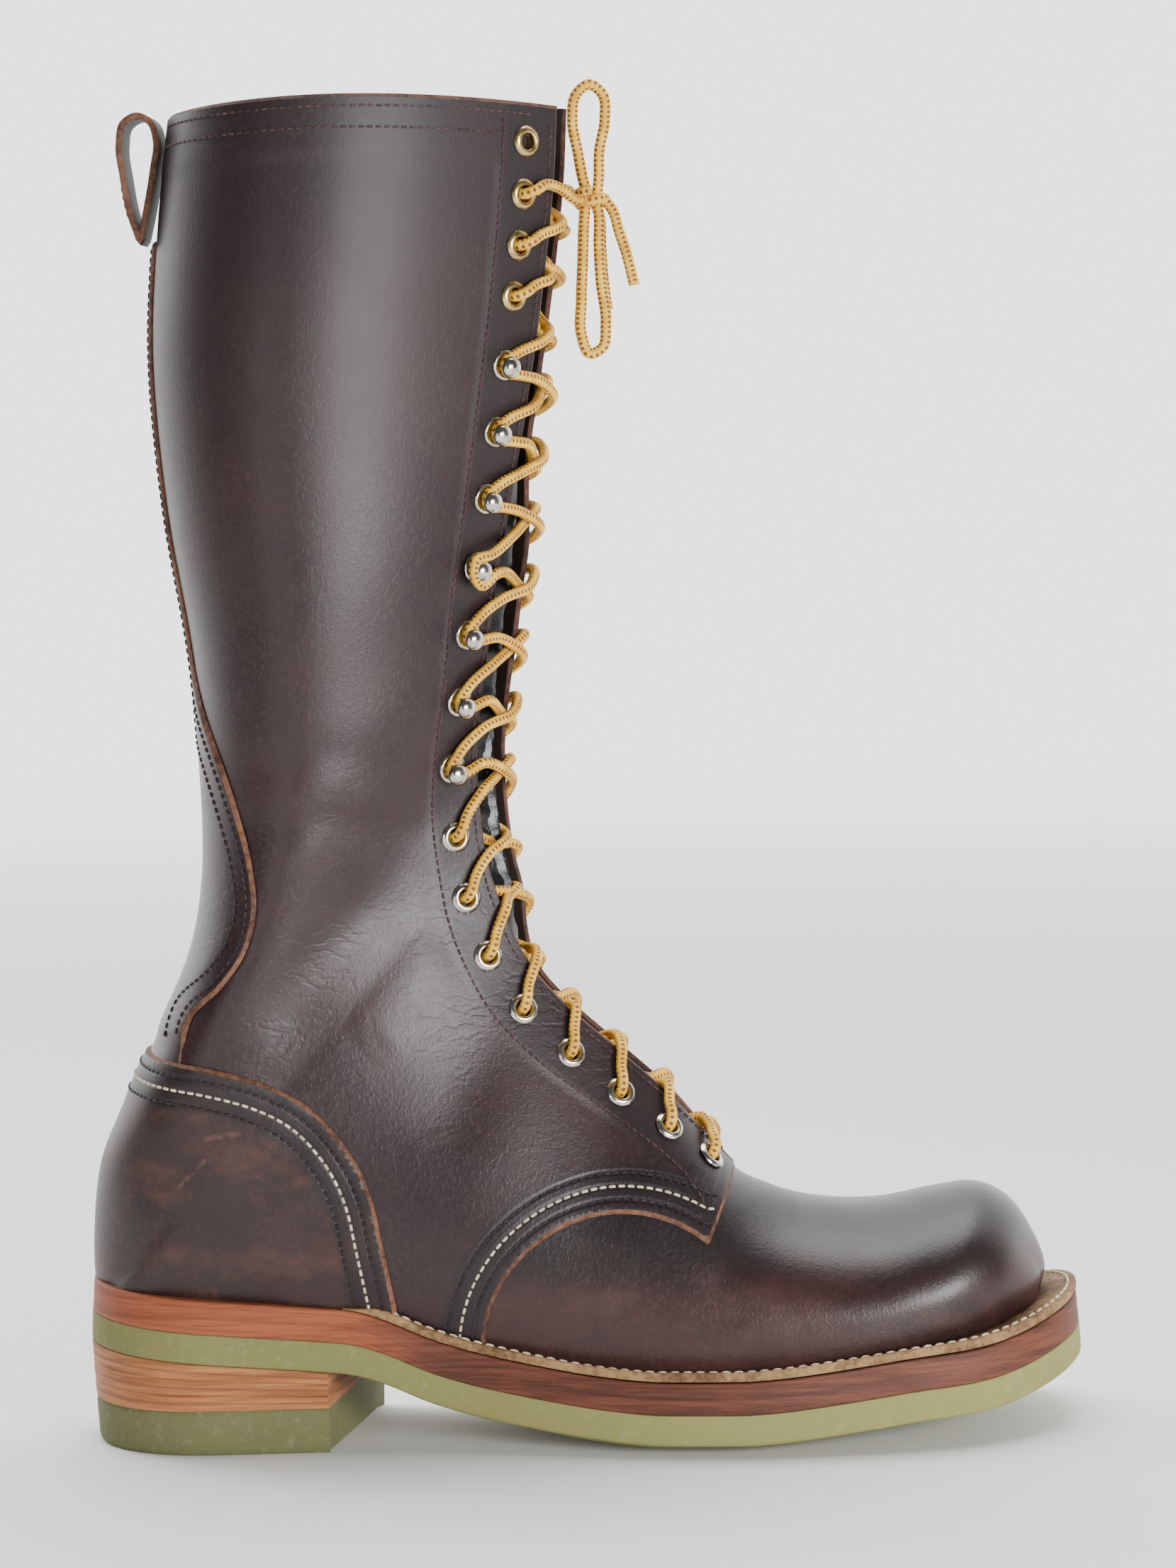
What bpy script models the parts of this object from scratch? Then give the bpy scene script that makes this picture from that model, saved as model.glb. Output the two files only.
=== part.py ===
"""Logger boot for the right foot: a tall hollow lace-up upper on a stacked leather and rubber sole.

Sizes are in millimetres and are turned into metres when a mesh is made. +X points to the toe, +Z up
and +Y to the inner side of the foot. The origin lies on the floor under the middle of the heel.
"""

import math

import bmesh
import bpy
import numpy as np

MM = 0.001
GAP = 0.3

# Sole
HEEL_END = -36.0
TOE_END = 276.0
OUTSOLE_THICK = 9.4
MIDSOLE_THICK = 10.0
INSOLE_THICK = 3.0
HEEL_CAP_THICK = 14.0
HEEL_LIFTS = 3
BREAST_OUTER_X = 41.0
BREAST_INNER_X = 53.0
BREAST_HOLLOW = 5.0
HEEL_TAPER = 1.5
SOLE_FLARE = 1.6
EDGE_CAMBER = 4.0
FLAT_SHARE = 0.55
WELT_THICK = 3.0
BED_EASE = 0.5
WELT_START_X = 44.0

# Upper
WALL = 2.6
SOLE_BURY = 6.0
VAMP_STEP = 1.2
OVERLAY_THICK = 1.6
TONGUE_THICK = 1.8
TONGUE_ROOM = 1.9
TONGUE_WIDTH = 62.0
TONGUE_BELOW_COLLAR = 12.0

# Lacing
LOW_EYELETS = 8
HOOKS = 7
TOP_EYELETS = 4
FIRST_EYELET = 9.0
LOW_PITCH = 19.0
HOOK_PITCH = 20.0
TOP_PITCH = 15.2
ROW_GAP = 20.7
EYELET_SETBACK = 12.5
EYELET_RADIUS = 4.7
EYELET_LIFT = 0.9
BARREL_RADIUS = 3.2
BORE_RADIUS = 2.5
LACE_RADIUS = 1.9
HOOK_SLOT = 5.6
LACED_ROWS = LOW_EYELETS + HOOKS + TOP_EYELETS - 1

# Plan of the outsole: x, half width before the ends are rounded, middle line (plus is the inner side)
PLAN = np.array([
    (-36.0, 38.5, 0.0),
    (4.0, 38.0, 0.0),
    (44.0, 36.0, -1.0),
    (80.0, 36.0, -3.0),
    (114.0, 42.0, -4.0),
    (149.0, 50.5, -2.5),
    (179.0, 54.5, 0.0),
    (209.0, 54.0, 3.0),
    (240.0, 52.5, 6.0),
    (276.0, 50.0, 8.0),
])
HEEL_ROUND = 40.0
TOE_ROUND = 58.0
ROUND_POWER = 2.15

# Underside of the outsole along its middle: x, height over the floor. It is straight over the heel.
SEAT_BACK_Z = 32.0
SEAT_END_X = 54.0
SOLE_LINE = np.array([
    (SEAT_END_X, 24.2),
    (64.0, 18.9),
    (79.0, 13.2),
    (100.0, 7.0),
    (124.0, 1.6),
    (142.0, 0.0),
    (170.0, 0.0),
    (200.0, 2.6),
    (223.0, 5.6),
    (249.0, 11.0),
    (273.0, 18.6),
    (276.0, 19.8),
])
FLAT_START_X = 142.0
FLAT_END_X = 170.0

# Foot sections, toe to heel: ridge x, ridge z, sole x, half width, half width at the sole,
# share of the height that is widest, roundness of the top, middle of the ridge, half of the throat gap
FOOT = np.array([
    (263.5, 38.5, 261.0, 4.0, 2.0, 0.50, 2.0, 8.0, 0.0),
    (265.0, 47.0, 257.0, 18.0, 12.0, 0.48, 2.1, 8.0, 0.0),
    (261.5, 57.0, 250.0, 29.0, 22.5, 0.45, 2.1, 8.0, 0.0),
    (254.5, 67.5, 240.5, 38.0, 31.0, 0.43, 2.1, 7.5, 0.0),
    (244.0, 72.8, 229.5, 43.5, 36.0, 0.43, 2.0, 7.0, 0.0),
    (230.5, 71.6, 217.0, 46.0, 38.5, 0.43, 2.0, 6.5, 0.0),
    (213.0, 68.6, 203.0, 47.0, 39.5, 0.43, 2.0, 6.0, 0.0),
    (195.0, 69.4, 187.0, 46.5, 39.0, 0.42, 2.0, 5.0, 0.0),
    (179.5, 73.6, 169.0, 45.0, 37.5, 0.40, 2.0, 4.0, 0.0),
    (167.0, 82.5, 149.0, 42.5, 35.0, 0.36, 2.0, 3.0, 0.0),
    (149.0, 104.5, 121.0, 38.5, 31.0, 0.31, 1.95, 2.0, 7.0),
    (131.0, 121.5, 91.0, 36.5, 27.5, 0.30, 1.95, 1.0, 7.5),
    (115.5, 136.0, 58.0, 35.5, 25.5, 0.32, 2.0, 0.0, 8.0),
    (104.5, 150.0, 24.0, 35.0, 26.0, 0.34, 2.0, 0.0, 8.0),
    (97.5, 166.0, -8.0, 35.0, 25.5, 0.36, 2.0, 0.0, 8.0),
    (94.0, 178.0, -24.0, 35.0, 17.5, 0.36, 2.0, 0.0, 8.0),
    (92.5, 187.0, -32.0, 35.0, 0.0, 0.36, 2.0, 0.0, 8.0),
])

# Shaft sections, heel to collar: front x, front z, back x, back z, half width,
# share of the depth that is widest, roundness of the front, half of the throat gap
SHAFT = np.array([
    (91.6, 197.0, -32.4, 66.0, 35.0, 0.36, 2.0, 8.0),
    (91.2, 206.0, -29.6, 87.0, 35.0, 0.36, 2.0, 8.0),
    (91.4, 215.0, -20.5, 109.0, 35.5, 0.36, 2.0, 8.0),
    (92.4, 225.0, -9.5, 132.0, 36.0, 0.37, 2.0, 8.0),
    (94.0, 236.0, 0.5, 155.0, 37.0, 0.37, 2.0, 8.0),
    (96.4, 250.0, 4.8, 179.0, 38.5, 0.38, 2.0, 8.0),
    (99.2, 268.0, 5.0, 209.0, 40.5, 0.38, 2.0, 8.0),
    (103.8, 290.0, 2.8, 246.0, 43.5, 0.38, 2.0, 8.0),
    (110.0, 322.0, -3.6, 292.0, 46.5, 0.38, 2.0, 8.0),
    (115.8, 357.0, -6.4, 338.0, 48.5, 0.38, 2.0, 8.0),
    (119.8, 388.0, -3.4, 380.0, 48.5, 0.38, 2.0, 8.0),
    (121.5, 412.0, 1.0, 412.0, 48.0, 0.38, 2.0, 8.0),
])
COLLAR_ARCH = 3.0
FOOT_ROWS = len(FOOT)
LAST_ROW = len(FOOT) + len(SHAFT) - 1
THROAT_ROW = 9.0
FLAP_BEND = 1.8
FLAP_LEAD = 5.5
FLAP_LEAD_TOP = 2.5

# Seams in the side view: x, z
VAMP_SEAM_CENTRE = (132.0, 30.0)
VAMP_SEAM_RADIUS = 42.5
VAMP_CORNER = (160.5, 64.5)
THROAT_CORNER = (169.5, 83.5)
COUNTER_EDGE = [(-15.0, 123.0), (9.0, 120.0), (24.0, 115.3), (37.0, 107.9), (46.5, 98.0), (52.6, 88.2),
                (56.6, 77.4), (59.0, 65.4), (62.7, 45.0)]
FOXING_EDGE = [(-15.0, 123.0), (30.0, 108.0), (80.0, 92.0), (130.0, 75.0), (160.0, 64.0), (180.0, 56.0),
               (196.0, 47.0), (207.0, 36.0), (212.0, 24.0)]
BACKSTAY_EDGE = [(-2.0, 124.5), (2.5, 136.0), (12.0, 145.0), (20.0, 156.3), (23.5, 169.0), (22.6, 182.0),
                 (18.5, 199.0), (13.7, 213.5), (7.6, 229.0)]
STRIP_HALF_WIDTH = 9.0
STRIP_TOP = 366.0

# Pull loop: middle of the strap in the side view, from its foot round and back
LOOP_PATH = [(-8.4, 374.0), (-6.0, 384.0), (-3.6, 396.0), (-2.4, 405.0), (-4.2, 410.6), (-8.2, 412.6),
             (-12.4, 410.4), (-13.9, 404.0), (-13.0, 394.0), (-11.2, 383.0)]
LOOP_WIDTH = 20.0
LOOP_THICK = 2.0

# Steel plate on the inner edge of the sole
PLATE_START_X = 169.0
PLATE_END_X = 199.0
PLATE_THICK = 1.5
PLATE_LIP = 4.0

# Bow: middle line of each free stretch of lace, x, y, z
KNOT_CENTRE = (131.0, 0.0, 384.0)
KNOT_SIZE = (5.0, 5.5, 4.6)
LOOP_UP = [(128.4, -1.0, 389.6), (127.0, -2.0, 398.0), (125.6, -3.0, 408.0), (127.2, -3.6, 416.0),
           (131.0, -3.8, 418.6), (135.0, -3.8, 415.6), (135.6, -3.2, 408.0), (133.6, -2.4, 398.0),
           (133.2, -1.2, 389.6)]
LOOP_DOWN = [(128.4, -3.0, 377.4), (127.8, -5.8, 366.0), (127.0, -7.4, 352.0), (126.8, -8.0, 342.0),
             (129.4, -8.0, 336.0), (133.0, -8.0, 337.6), (134.4, -7.4, 345.0), (133.2, -5.4, 358.0),
             (132.8, -3.8, 370.0), (133.0, -2.0, 378.5)]
END_OUTER = [(137.4, -1.0, 379.8), (139.0, -2.0, 374.0), (141.4, -3.0, 366.0), (143.4, -4.0, 357.0)]
END_INNER = [(133.4, 4.6, 378.6), (134.4, 7.0, 370.0), (134.0, 9.0, 360.0), (132.8, 10.4, 350.0)]

# Sampling of the solids
SECTION_STEPS = 36
SIDE_STEPS = 11
FRONT_CROWD = 1.35
SOLE_STATIONS = 22
SOLE_SHARES = (-1.0, -0.775, -FLAT_SHARE, FLAT_SHARE, 0.775, 1.0)
RING_STEPS = 6
LACE_SIDES = 6
CROSSING_SIDES = 4

FINISHES = {
    "brown_leather": ((0.040, 0.018, 0.014), 0.35, 0.0),
    "black_leather": ((0.010, 0.009, 0.009), 0.35, 0.0),
    "edge_leather": ((0.260, 0.090, 0.050), 0.55, 0.0),
    "welt_leather": ((0.330, 0.200, 0.090), 0.60, 0.0),
    "olive_rubber": ((0.210, 0.210, 0.095), 0.75, 0.0),
    "nickel": ((0.620, 0.600, 0.560), 0.25, 1.0),
    "steel": ((0.650, 0.650, 0.640), 0.30, 1.0),
    "lace_cord": ((0.640, 0.340, 0.080), 0.70, 0.0),
    "insole_leather": ((0.330, 0.190, 0.100), 0.70, 0.0),
}


def clear_scene():
    for obj in list(bpy.data.objects):
        bpy.data.objects.remove(obj)


def finish(name):
    """The material of that name, made on first use."""
    material = bpy.data.materials.get(name)
    if material is None:
        colour, roughness, metallic = FINISHES[name]
        material = bpy.data.materials.new(name)
        material.use_nodes = True
        shader = material.node_tree.nodes["Principled BSDF"]
        shader.inputs["Base Color"].default_value = (*colour, 1.0)
        shader.inputs["Roughness"].default_value = roughness
        shader.inputs["Metallic"].default_value = metallic
        material.diffuse_color = (*colour, 1.0)
    return material


def solid(name, points, faces, material, helper=False):
    """An object from points in millimetres, with doubled points joined and its faces turned outwards."""
    mesh = bpy.data.meshes.new(name)
    mesh.from_pydata([tuple(point) for point in np.asarray(points) * MM], [], faces)
    work = bmesh.new()
    work.from_mesh(mesh)
    bmesh.ops.remove_doubles(work, verts=work.verts, dist=2e-6)
    bmesh.ops.dissolve_degenerate(work, edges=work.edges, dist=1e-6)
    bmesh.ops.recalc_face_normals(work, faces=work.faces)
    work.to_mesh(mesh)
    work.free()
    mesh.shade_smooth()
    mesh.set_sharp_from_angle(angle=math.radians(35))
    obj = bpy.data.objects.new(name, mesh)
    bpy.context.scene.collection.objects.link(obj)
    if helper:
        obj.hide_render = True
        obj.display_type = "WIRE"
    else:
        obj.data.materials.append(finish(material))
    return obj


def boolean(obj, other, operation, crossing=False):
    modifier = obj.modifiers.new(operation.lower() + "_" + other.name, "BOOLEAN")
    modifier.operation = operation
    modifier.object = other
    modifier.use_self = crossing
    return modifier


def hermite(stations, values, at):
    """A smooth curve through values at uneven stations, carried on straight past its ends."""
    stations = np.asarray(stations, float)
    values = np.asarray(values, float)
    slopes = np.gradient(values, stations)
    at = np.asarray(at, float)
    place = np.clip(np.searchsorted(stations, at) - 1, 0, len(stations) - 2)
    step = stations[place + 1] - stations[place]
    u = np.clip((at - stations[place]) / step, 0.0, 1.0)
    start = values[place] * (1 + 2 * u) * (1 - u) ** 2 + slopes[place] * step * u * (1 - u) ** 2
    end = values[place + 1] * u * u * (3 - 2 * u) + slopes[place + 1] * step * u * u * (u - 1)
    past = np.maximum(at - stations[-1], 0.0) * slopes[-1] + np.minimum(at - stations[0], 0.0) * slopes[0]
    return start + end + past


def smooth_step(value, low, high):
    share = np.clip((value - low) / (high - low), 0.0, 1.0)
    return share * share * (3 - 2 * share)


# Sole

def plan_middle(x):
    return hermite(PLAN[:, 0], PLAN[:, 2], x)


def plan_width(x):
    return hermite(PLAN[:, 0], PLAN[:, 1], np.clip(x, HEEL_END, TOE_END))


def plan_half(x, inset=0.0):
    """Half width of the sole at x, with round ends, all taken in by inset."""
    x = np.asarray(x, float)
    from_heel = np.clip((x - HEEL_END - inset) / HEEL_ROUND, 0.0, 1.0)
    from_toe = np.clip((TOE_END - inset - x) / TOE_ROUND, 0.0, 1.0)
    half = plan_width(x) - inset
    for share in (from_heel, from_toe):
        half = half * (1 - (1 - share) ** ROUND_POWER) ** (1 / ROUND_POWER)
    return half


def sole_line(x):
    """Height of the outsole's underside along its middle, flat where the forefoot stands."""
    x = np.clip(np.asarray(x, float), HEEL_END, TOE_END)
    height = np.maximum(hermite(SOLE_LINE[:, 0], SOLE_LINE[:, 1], np.maximum(x, SEAT_END_X)), 0.0)
    height = np.where((x >= FLAT_START_X) & (x <= FLAT_END_X), 0.0, height)
    seat = SEAT_BACK_Z + (SOLE_LINE[0, 1] - SEAT_BACK_Z) * (x - HEEL_END) / (SEAT_END_X - HEEL_END)
    return np.where(x < SEAT_END_X, seat, height)


def sole_level(x, y):
    """Height of the outsole's underside, with the forefoot's edges rising past its flat middle."""
    x = np.asarray(x, float)
    fade = smooth_step(x, 70.0, 130.0) * (1 - smooth_step(x, 215.0, 262.0))
    share = np.clip(np.abs(y - plan_middle(x)) / plan_width(x), 0.0, 1.0)
    past_flat = np.maximum(share - FLAT_SHARE, 0.0) / (1 - FLAT_SHARE)
    return sole_line(x) + EDGE_CAMBER * fade * past_flat ** 2


MIDSOLE_TOP = OUTSOLE_THICK + GAP + MIDSOLE_THICK
LAST_LEVEL = MIDSOLE_TOP + GAP


def bed_ease(x):
    """Extra room over the midsole's facets, ahead of its flat seat."""
    return BED_EASE * smooth_step(np.asarray(x, float), SEAT_END_X - 6.0, SEAT_END_X + 8.0)


def ring_faces(rows, columns):
    """Triangles of a closed ring of columns carried along rows, mirrored in the ring's second half."""
    faces = []
    for i in range(rows - 1):
        for j in range(columns):
            k = (j + 1) % columns
            a, b = i * columns + j, i * columns + k
            c, d = b + columns, a + columns
            faces += [(a, b, c), (a, c, d)] if j < columns / 2 - 1 else [(a, b, d), (b, c, d)]
    return faces


def ring_cap(first, columns):
    """Triangles across one ring, from its first half to its second."""
    faces = []
    for j in range(columns // 2 - 1):
        a, b = first + j, first + j + 1
        c, d = first + columns - 2 - j, first + columns - 1 - j
        faces += [(a, b, c), (a, c, d)]
    return faces


def lofted(name, rings, material, helper=False):
    """A solid through a list of rings of the same count, closed at both ends."""
    rows = len(rings)
    columns = len(rings[0])
    faces = ring_faces(rows, columns) + ring_cap(0, columns) + ring_cap((rows - 1) * columns, columns)
    return solid(name, np.concatenate(rings), faces, material, helper)


def sole_stations():
    """Places along the sole, closer at both ends, with the ends of the seat and the flat spot among them."""
    even = HEEL_END + (TOE_END - HEEL_END) * (1 - np.cos(np.linspace(0.0, math.pi, SOLE_STATIONS))) / 2
    fixed = [SEAT_END_X, FLAT_START_X, FLAT_END_X]
    kept = [x for x in even if min(abs(x - place) for place in fixed) > 7.0]
    return np.array(sorted(kept + fixed))


def sole_slab(name, low, high, material, inset_low, inset_high, start_x=HEEL_END, ease=0.0):
    """A slab between two heights over the underside of the outsole."""
    rings = []
    shares = np.array(SOLE_SHARES)
    for station in sole_stations():
        along = max((station - HEEL_END) / (TOE_END - HEEL_END), (start_x - HEEL_END) / (TOE_END - HEEL_END))
        ring = []
        for height, inset, across in ((low, inset_low, shares), (high, inset_high, shares[::-1])):
            x = HEEL_END + inset + along * (TOE_END - HEEL_END - 2 * inset)
            y = plan_middle(x) + across * plan_half(x, inset)
            z = sole_level(x, y) + height + ease * bed_ease(x)
            ring += [(x, y[k], z[k]) for k in range(len(across))]
        rings.append(np.array(ring))
    return lofted(name, rings, material)


def heel_inset(height):
    return HEEL_TAPER * max(0.0, 1 - height / 28.0)


def heel_slab(name, low, high, material, inset_low, inset_high):
    """One layer of the heel between two heights that are functions of x, with a hollow breast."""
    rings = []
    shares = np.linspace(-1.0, 1.0, 6)
    for along in 1 - np.cos(np.linspace(0.0, math.pi / 2, 9)):
        ring = []
        for level, inset, across in ((low, inset_low, shares), (high, inset_high, shares[::-1])):
            breast = (BREAST_OUTER_X + BREAST_INNER_X) / 2 + (BREAST_INNER_X - BREAST_OUTER_X) / 2 * across
            breast = breast - BREAST_HOLLOW * (1 - across ** 2)
            start = HEEL_END + inset
            x = start + along * (breast - start)
            y = plan_middle(x) + across * plan_half(x, inset)
            z = level(x)
            ring += [(x[k], y[k], z[k]) for k in range(len(x))]
        rings.append(np.array(ring))
    return lofted(name, rings, material)


def heel_level(share, shift):
    """Height function that lies a share of the way from the cap to the outsole."""
    def level(x):
        low = HEEL_CAP_THICK + GAP
        return low + share * (sole_line(x) - GAP - low) + shift
    return level


def make_sole():
    sole_slab("outsole", 0.0, OUTSOLE_THICK, "olive_rubber", 0.0, 0.6)
    sole_slab("midsole", OUTSOLE_THICK + GAP, MIDSOLE_TOP, "edge_leather", 0.7, SOLE_FLARE)

    def floor(x):
        return np.zeros(len(x))

    def cap_top(x):
        return np.full(len(x), HEEL_CAP_THICK)

    heel_slab("heel_cap", floor, cap_top, "olive_rubber", heel_inset(0.0), heel_inset(HEEL_CAP_THICK))
    for k in range(HEEL_LIFTS):
        low_shift = GAP / 2 if k else 0.0
        high_shift = -GAP / 2 if k < HEEL_LIFTS - 1 else 0.0
        low = heel_level(k / HEEL_LIFTS, low_shift)
        high = heel_level((k + 1) / HEEL_LIFTS, high_shift)
        inset_low = heel_inset(HEEL_CAP_THICK + 14.0 * k / HEEL_LIFTS)
        inset_high = heel_inset(HEEL_CAP_THICK + 14.0 * (k + 1) / HEEL_LIFTS)
        heel_slab(f"heel_lift_{k + 1}", low, high, "edge_leather", inset_low, inset_high)


# Upper

def section_rows():
    """Foot and shaft sections in one table: front x, front z, back x, back z, half width,
    half width at the back, widest share, roundness of the front, middle at the back and front, gap."""
    rows = []
    for front_x, front_z, sole_x, half, low, widest, power, ridge, gap in FOOT:
        back_z = float(sole_line(sole_x)) + MIDSOLE_TOP - SOLE_BURY
        middle = float(plan_middle(sole_x))
        rows.append((front_x, front_z, sole_x, back_z, half, low, widest, power, middle, ridge, gap))
    for front_x, front_z, back_x, back_z, half, widest, power, gap in SHAFT:
        rows.append((front_x, front_z, back_x, back_z, half, 0.0, widest, power, 0.0, 0.0, gap))
    return np.array(rows)


SECTIONS = section_rows()
FRONT_SHARE = 0.55


def flap_lead(s):
    """How far the inner edge of the throat stands ahead of the outer one."""
    low = smooth_step(s, 12.3, 14.6)
    return low * (FLAP_LEAD_TOP + FLAP_LEAD * (1 - smooth_step(s, 23.2, 24.8)))


def surface(s, turn, side):
    """A point of the upper's outer form: s counts sections, turn runs from the front (0) to the back (1)."""
    s = np.asarray(s, float)
    turn = np.asarray(turn, float)
    index = np.arange(len(SECTIONS))
    column = [hermite(index, SECTIONS[:, k], s) for k in range(SECTIONS.shape[1])]
    front_x, front_z, back_x, back_z, half, low, widest, power, low_middle, ridge, gap = column
    low = np.where(s >= FOOT_ROWS - 1, 0.0, np.maximum(low, 0.0))
    gap = np.where(s <= THROAT_ROW, 0.0, np.maximum(gap, 0.0))
    front_x = front_x + flap_lead(s) * (np.asarray(side) > 0)
    depth = np.hypot(front_x - back_x, front_z - back_z)
    across = widest * depth
    front_angle = np.clip(turn / FRONT_SHARE, 0.0, 1.0) * math.pi / 2
    back_angle = np.clip((turn - FRONT_SHARE) / (1 - FRONT_SHARE), 0.0, 1.0) * math.pi / 2
    in_front = turn < FRONT_SHARE
    front_reach = across + (depth - across) * np.abs(np.cos(front_angle)) ** (2 / power)
    front_width = gap + (half - gap) * np.abs(np.sin(front_angle)) ** (2 / power)
    flat = smooth_step(s, THROAT_ROW, THROAT_ROW + 1.8)
    from_edge = np.clip(turn / FRONT_SHARE, 0.0, 1.0)
    flap_reach = across + (depth - across) * (1 - from_edge)
    flap_width = gap + (half - gap) * (1 - (1 - from_edge) ** FLAP_BEND)
    front_reach = front_reach + (flap_reach - front_reach) * flat
    front_width = front_width + (flap_width - front_width) * flat
    back_reach = across * (1 - np.sin(back_angle))
    back_width = low + (half - low) * np.cos(back_angle)
    reach = np.where(in_front, front_reach, back_reach)
    width = np.where(in_front, front_width, back_width)
    share = reach / depth
    arch = COLLAR_ARCH * np.clip(s - LAST_ROW + 1, 0.0, 1.0) * 4 * share * (1 - share)
    x = back_x + (front_x - back_x) * share
    y = low_middle + (ridge - low_middle) * share + side * width
    z = back_z + (front_z - back_z) * share + arch
    return np.stack(np.broadcast_arrays(x, y, z), axis=-1)


def normal(s, turn, side):
    """The outward direction of the form."""
    e = 0.004
    s = np.asarray(s, float)
    turn = np.asarray(turn, float)
    along = surface(s + e, turn, side) - surface(np.maximum(s - e, 0.0), turn, side)
    down = surface(s, np.minimum(turn + e, 1.0), side) - surface(s, np.maximum(turn - e, 0.0), side)
    out = -side * np.cross(along, down)
    on_middle = (turn < 1e-6) & (s <= THROAT_ROW) | (turn > 1 - 1e-6) & (s >= FOOT_ROWS - 1)
    out[..., 1] = np.where(on_middle, 0.0, out[..., 1])
    return out / np.maximum(np.linalg.norm(out, axis=-1, keepdims=True), 1e-9)


def lifted(s, turn, side, offset):
    return surface(s, turn, side) + normal(s, turn, side) * np.asarray(offset)[..., None]


def section_ring(s, offset, steps=SIDE_STEPS):
    """Points round one section, from the back over the outer side, the front and the inner side to the back.
    The offset is a number or a function of s, turn and side."""
    turn = np.linspace(1.0, 0.0, steps + 1) ** FRONT_CROWD
    halves = []
    for side, order in ((-1, turn), (1, turn[::-1])):
        here = np.full(len(order), float(s))
        away = offset(here, order, side) if callable(offset) else np.full(len(order), offset)
        halves.append(lifted(here, order, side, away))
    return np.concatenate(halves)


def upper_form(name, offset, start=0.0, end=LAST_ROW, material="brown_leather", helper=True):
    """The whole form of the upper as one filled body, grown or shrunk by the offset."""
    rings = [section_ring(s, offset) for s in np.linspace(start, end, SECTION_STEPS)]
    return lofted(name, rings, material, helper)


def prism(name, outline, low, high, across="y"):
    """An outline in the side view (x, z) or the back view (y, z) carried from low to high."""
    points = []
    for level in (low, high):
        for u, v in outline:
            points.append((u, level, v) if across == "y" else (level, u, v))
    count = len(outline)
    faces = ring_faces(2, count) + [tuple(range(count)), tuple(range(count, 2 * count))]
    return solid(name, points, faces, None, helper=True)


def sole_block():
    """Everything under the top of the midsole, to cut what stands on it."""
    rings = []
    for x in np.linspace(-70.0, 300.0, 34):
        y = np.linspace(-95.0, 95.0, 18)
        top = [(x, v, float(sole_level(x, v) + bed_ease(x)) + LAST_LEVEL) for v in y]
        low = [(x, v, -30.0) for v in y[::-1]]
        rings.append(np.array(top + low))
    return lofted("sole_block", rings, None, helper=True)


def vamp_recess(s, turn, side):
    """How far the vamp lies under the quarters: full on the outer side, nothing past the ridge."""
    if side > 0:
        return np.full(len(turn), 0.2)
    return -VAMP_STEP + (VAMP_STEP + 0.2) * (1 - smooth_step(turn, 0.02, 0.22))


def vamp_outline():
    """The vamp in the side view: the space under the curved seam and all before it."""
    angles = np.radians(np.linspace(180.0, 50.0, 14))
    centre_x, centre_z = VAMP_SEAM_CENTRE
    reach = VAMP_SEAM_RADIUS
    seam = [(centre_x + reach * math.cos(a), centre_z + reach * math.sin(a)) for a in angles]
    first = (seam[0][0], -20.0)
    return [first] + seam + [VAMP_CORNER, THROAT_CORNER, (190.0, 120.0), (310.0, 120.0), (310.0, -20.0)]


def throat_block():
    """The space between the two edges of the throat."""
    rings = []
    for s in np.linspace(THROAT_ROW + 0.02, LAST_ROW + 0.3, 26):
        trim = np.array((0.0, 0.25, 0.0))
        outer = surface(s, 0.0, -1) - trim
        inner = surface(s, 0.0, 1) + trim
        back = surface(s, 1.0, 1)
        ahead = (inner - back) * np.array((1.0, 0.0, 1.0))
        ahead = ahead / np.linalg.norm(ahead)
        rings.append(np.array([outer - 14 * ahead, outer + 8 * ahead, inner + 8 * ahead, inner - 14 * ahead]))
    return lofted("throat_block", rings, None, helper=True)


def make_upper(block):
    upper = upper_form("upper", 0.0, helper=False)
    step = prism("vamp_step", vamp_outline(), -85.0, 85.0)
    boolean(step, upper_form("vamp_level", vamp_recess), "DIFFERENCE", crossing=True)
    boolean(upper, step, "DIFFERENCE")
    inside = upper_form("upper_inside", -WALL, 1.0, LAST_ROW + 0.35)
    boolean(upper, inside, "DIFFERENCE", crossing=True)
    boolean(upper, throat_block(), "DIFFERENCE")
    weld = upper.modifiers.new("join_near_points", "WELD")
    weld.merge_threshold = 0.03 * MM
    boolean(upper, block, "DIFFERENCE")
    return upper


def strip_points(s, offset, width, count):
    """Points across the front of one section, width long, inside the upper."""
    ring = section_ring(s, offset, 40)
    middle = (ring[40] + ring[41]) / 2
    outer = np.concatenate([[middle], ring[40::-1]])
    inner = np.concatenate([[middle], ring[41:]])
    halves = []
    for half in (outer, inner):
        length = np.concatenate([[0.0], np.cumsum(np.linalg.norm(np.diff(half, axis=0), axis=1))])
        at = np.linspace(0.0, width / 2, count + 1)
        halves.append(np.stack([np.interp(at, length, half[:, k]) for k in range(3)], axis=1))
    return np.concatenate([halves[0][:0:-1], halves[1]])


def make_tongue():
    rings = []
    last = LAST_ROW - TONGUE_BELOW_COLLAR / 24.0
    for s in np.linspace(THROAT_ROW - 0.8, last, 22):
        width = TONGUE_WIDTH * (0.62 + 0.38 * float(smooth_step(s, THROAT_ROW - 0.8, THROAT_ROW + 4.0)))
        front = strip_points(s, -WALL - TONGUE_ROOM, width, 4)
        rear = strip_points(s, -WALL - TONGUE_ROOM - TONGUE_THICK, width, 4)
        rings.append(np.concatenate([front, rear[::-1]]))
    lofted("tongue", rings, "black_leather")


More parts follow.
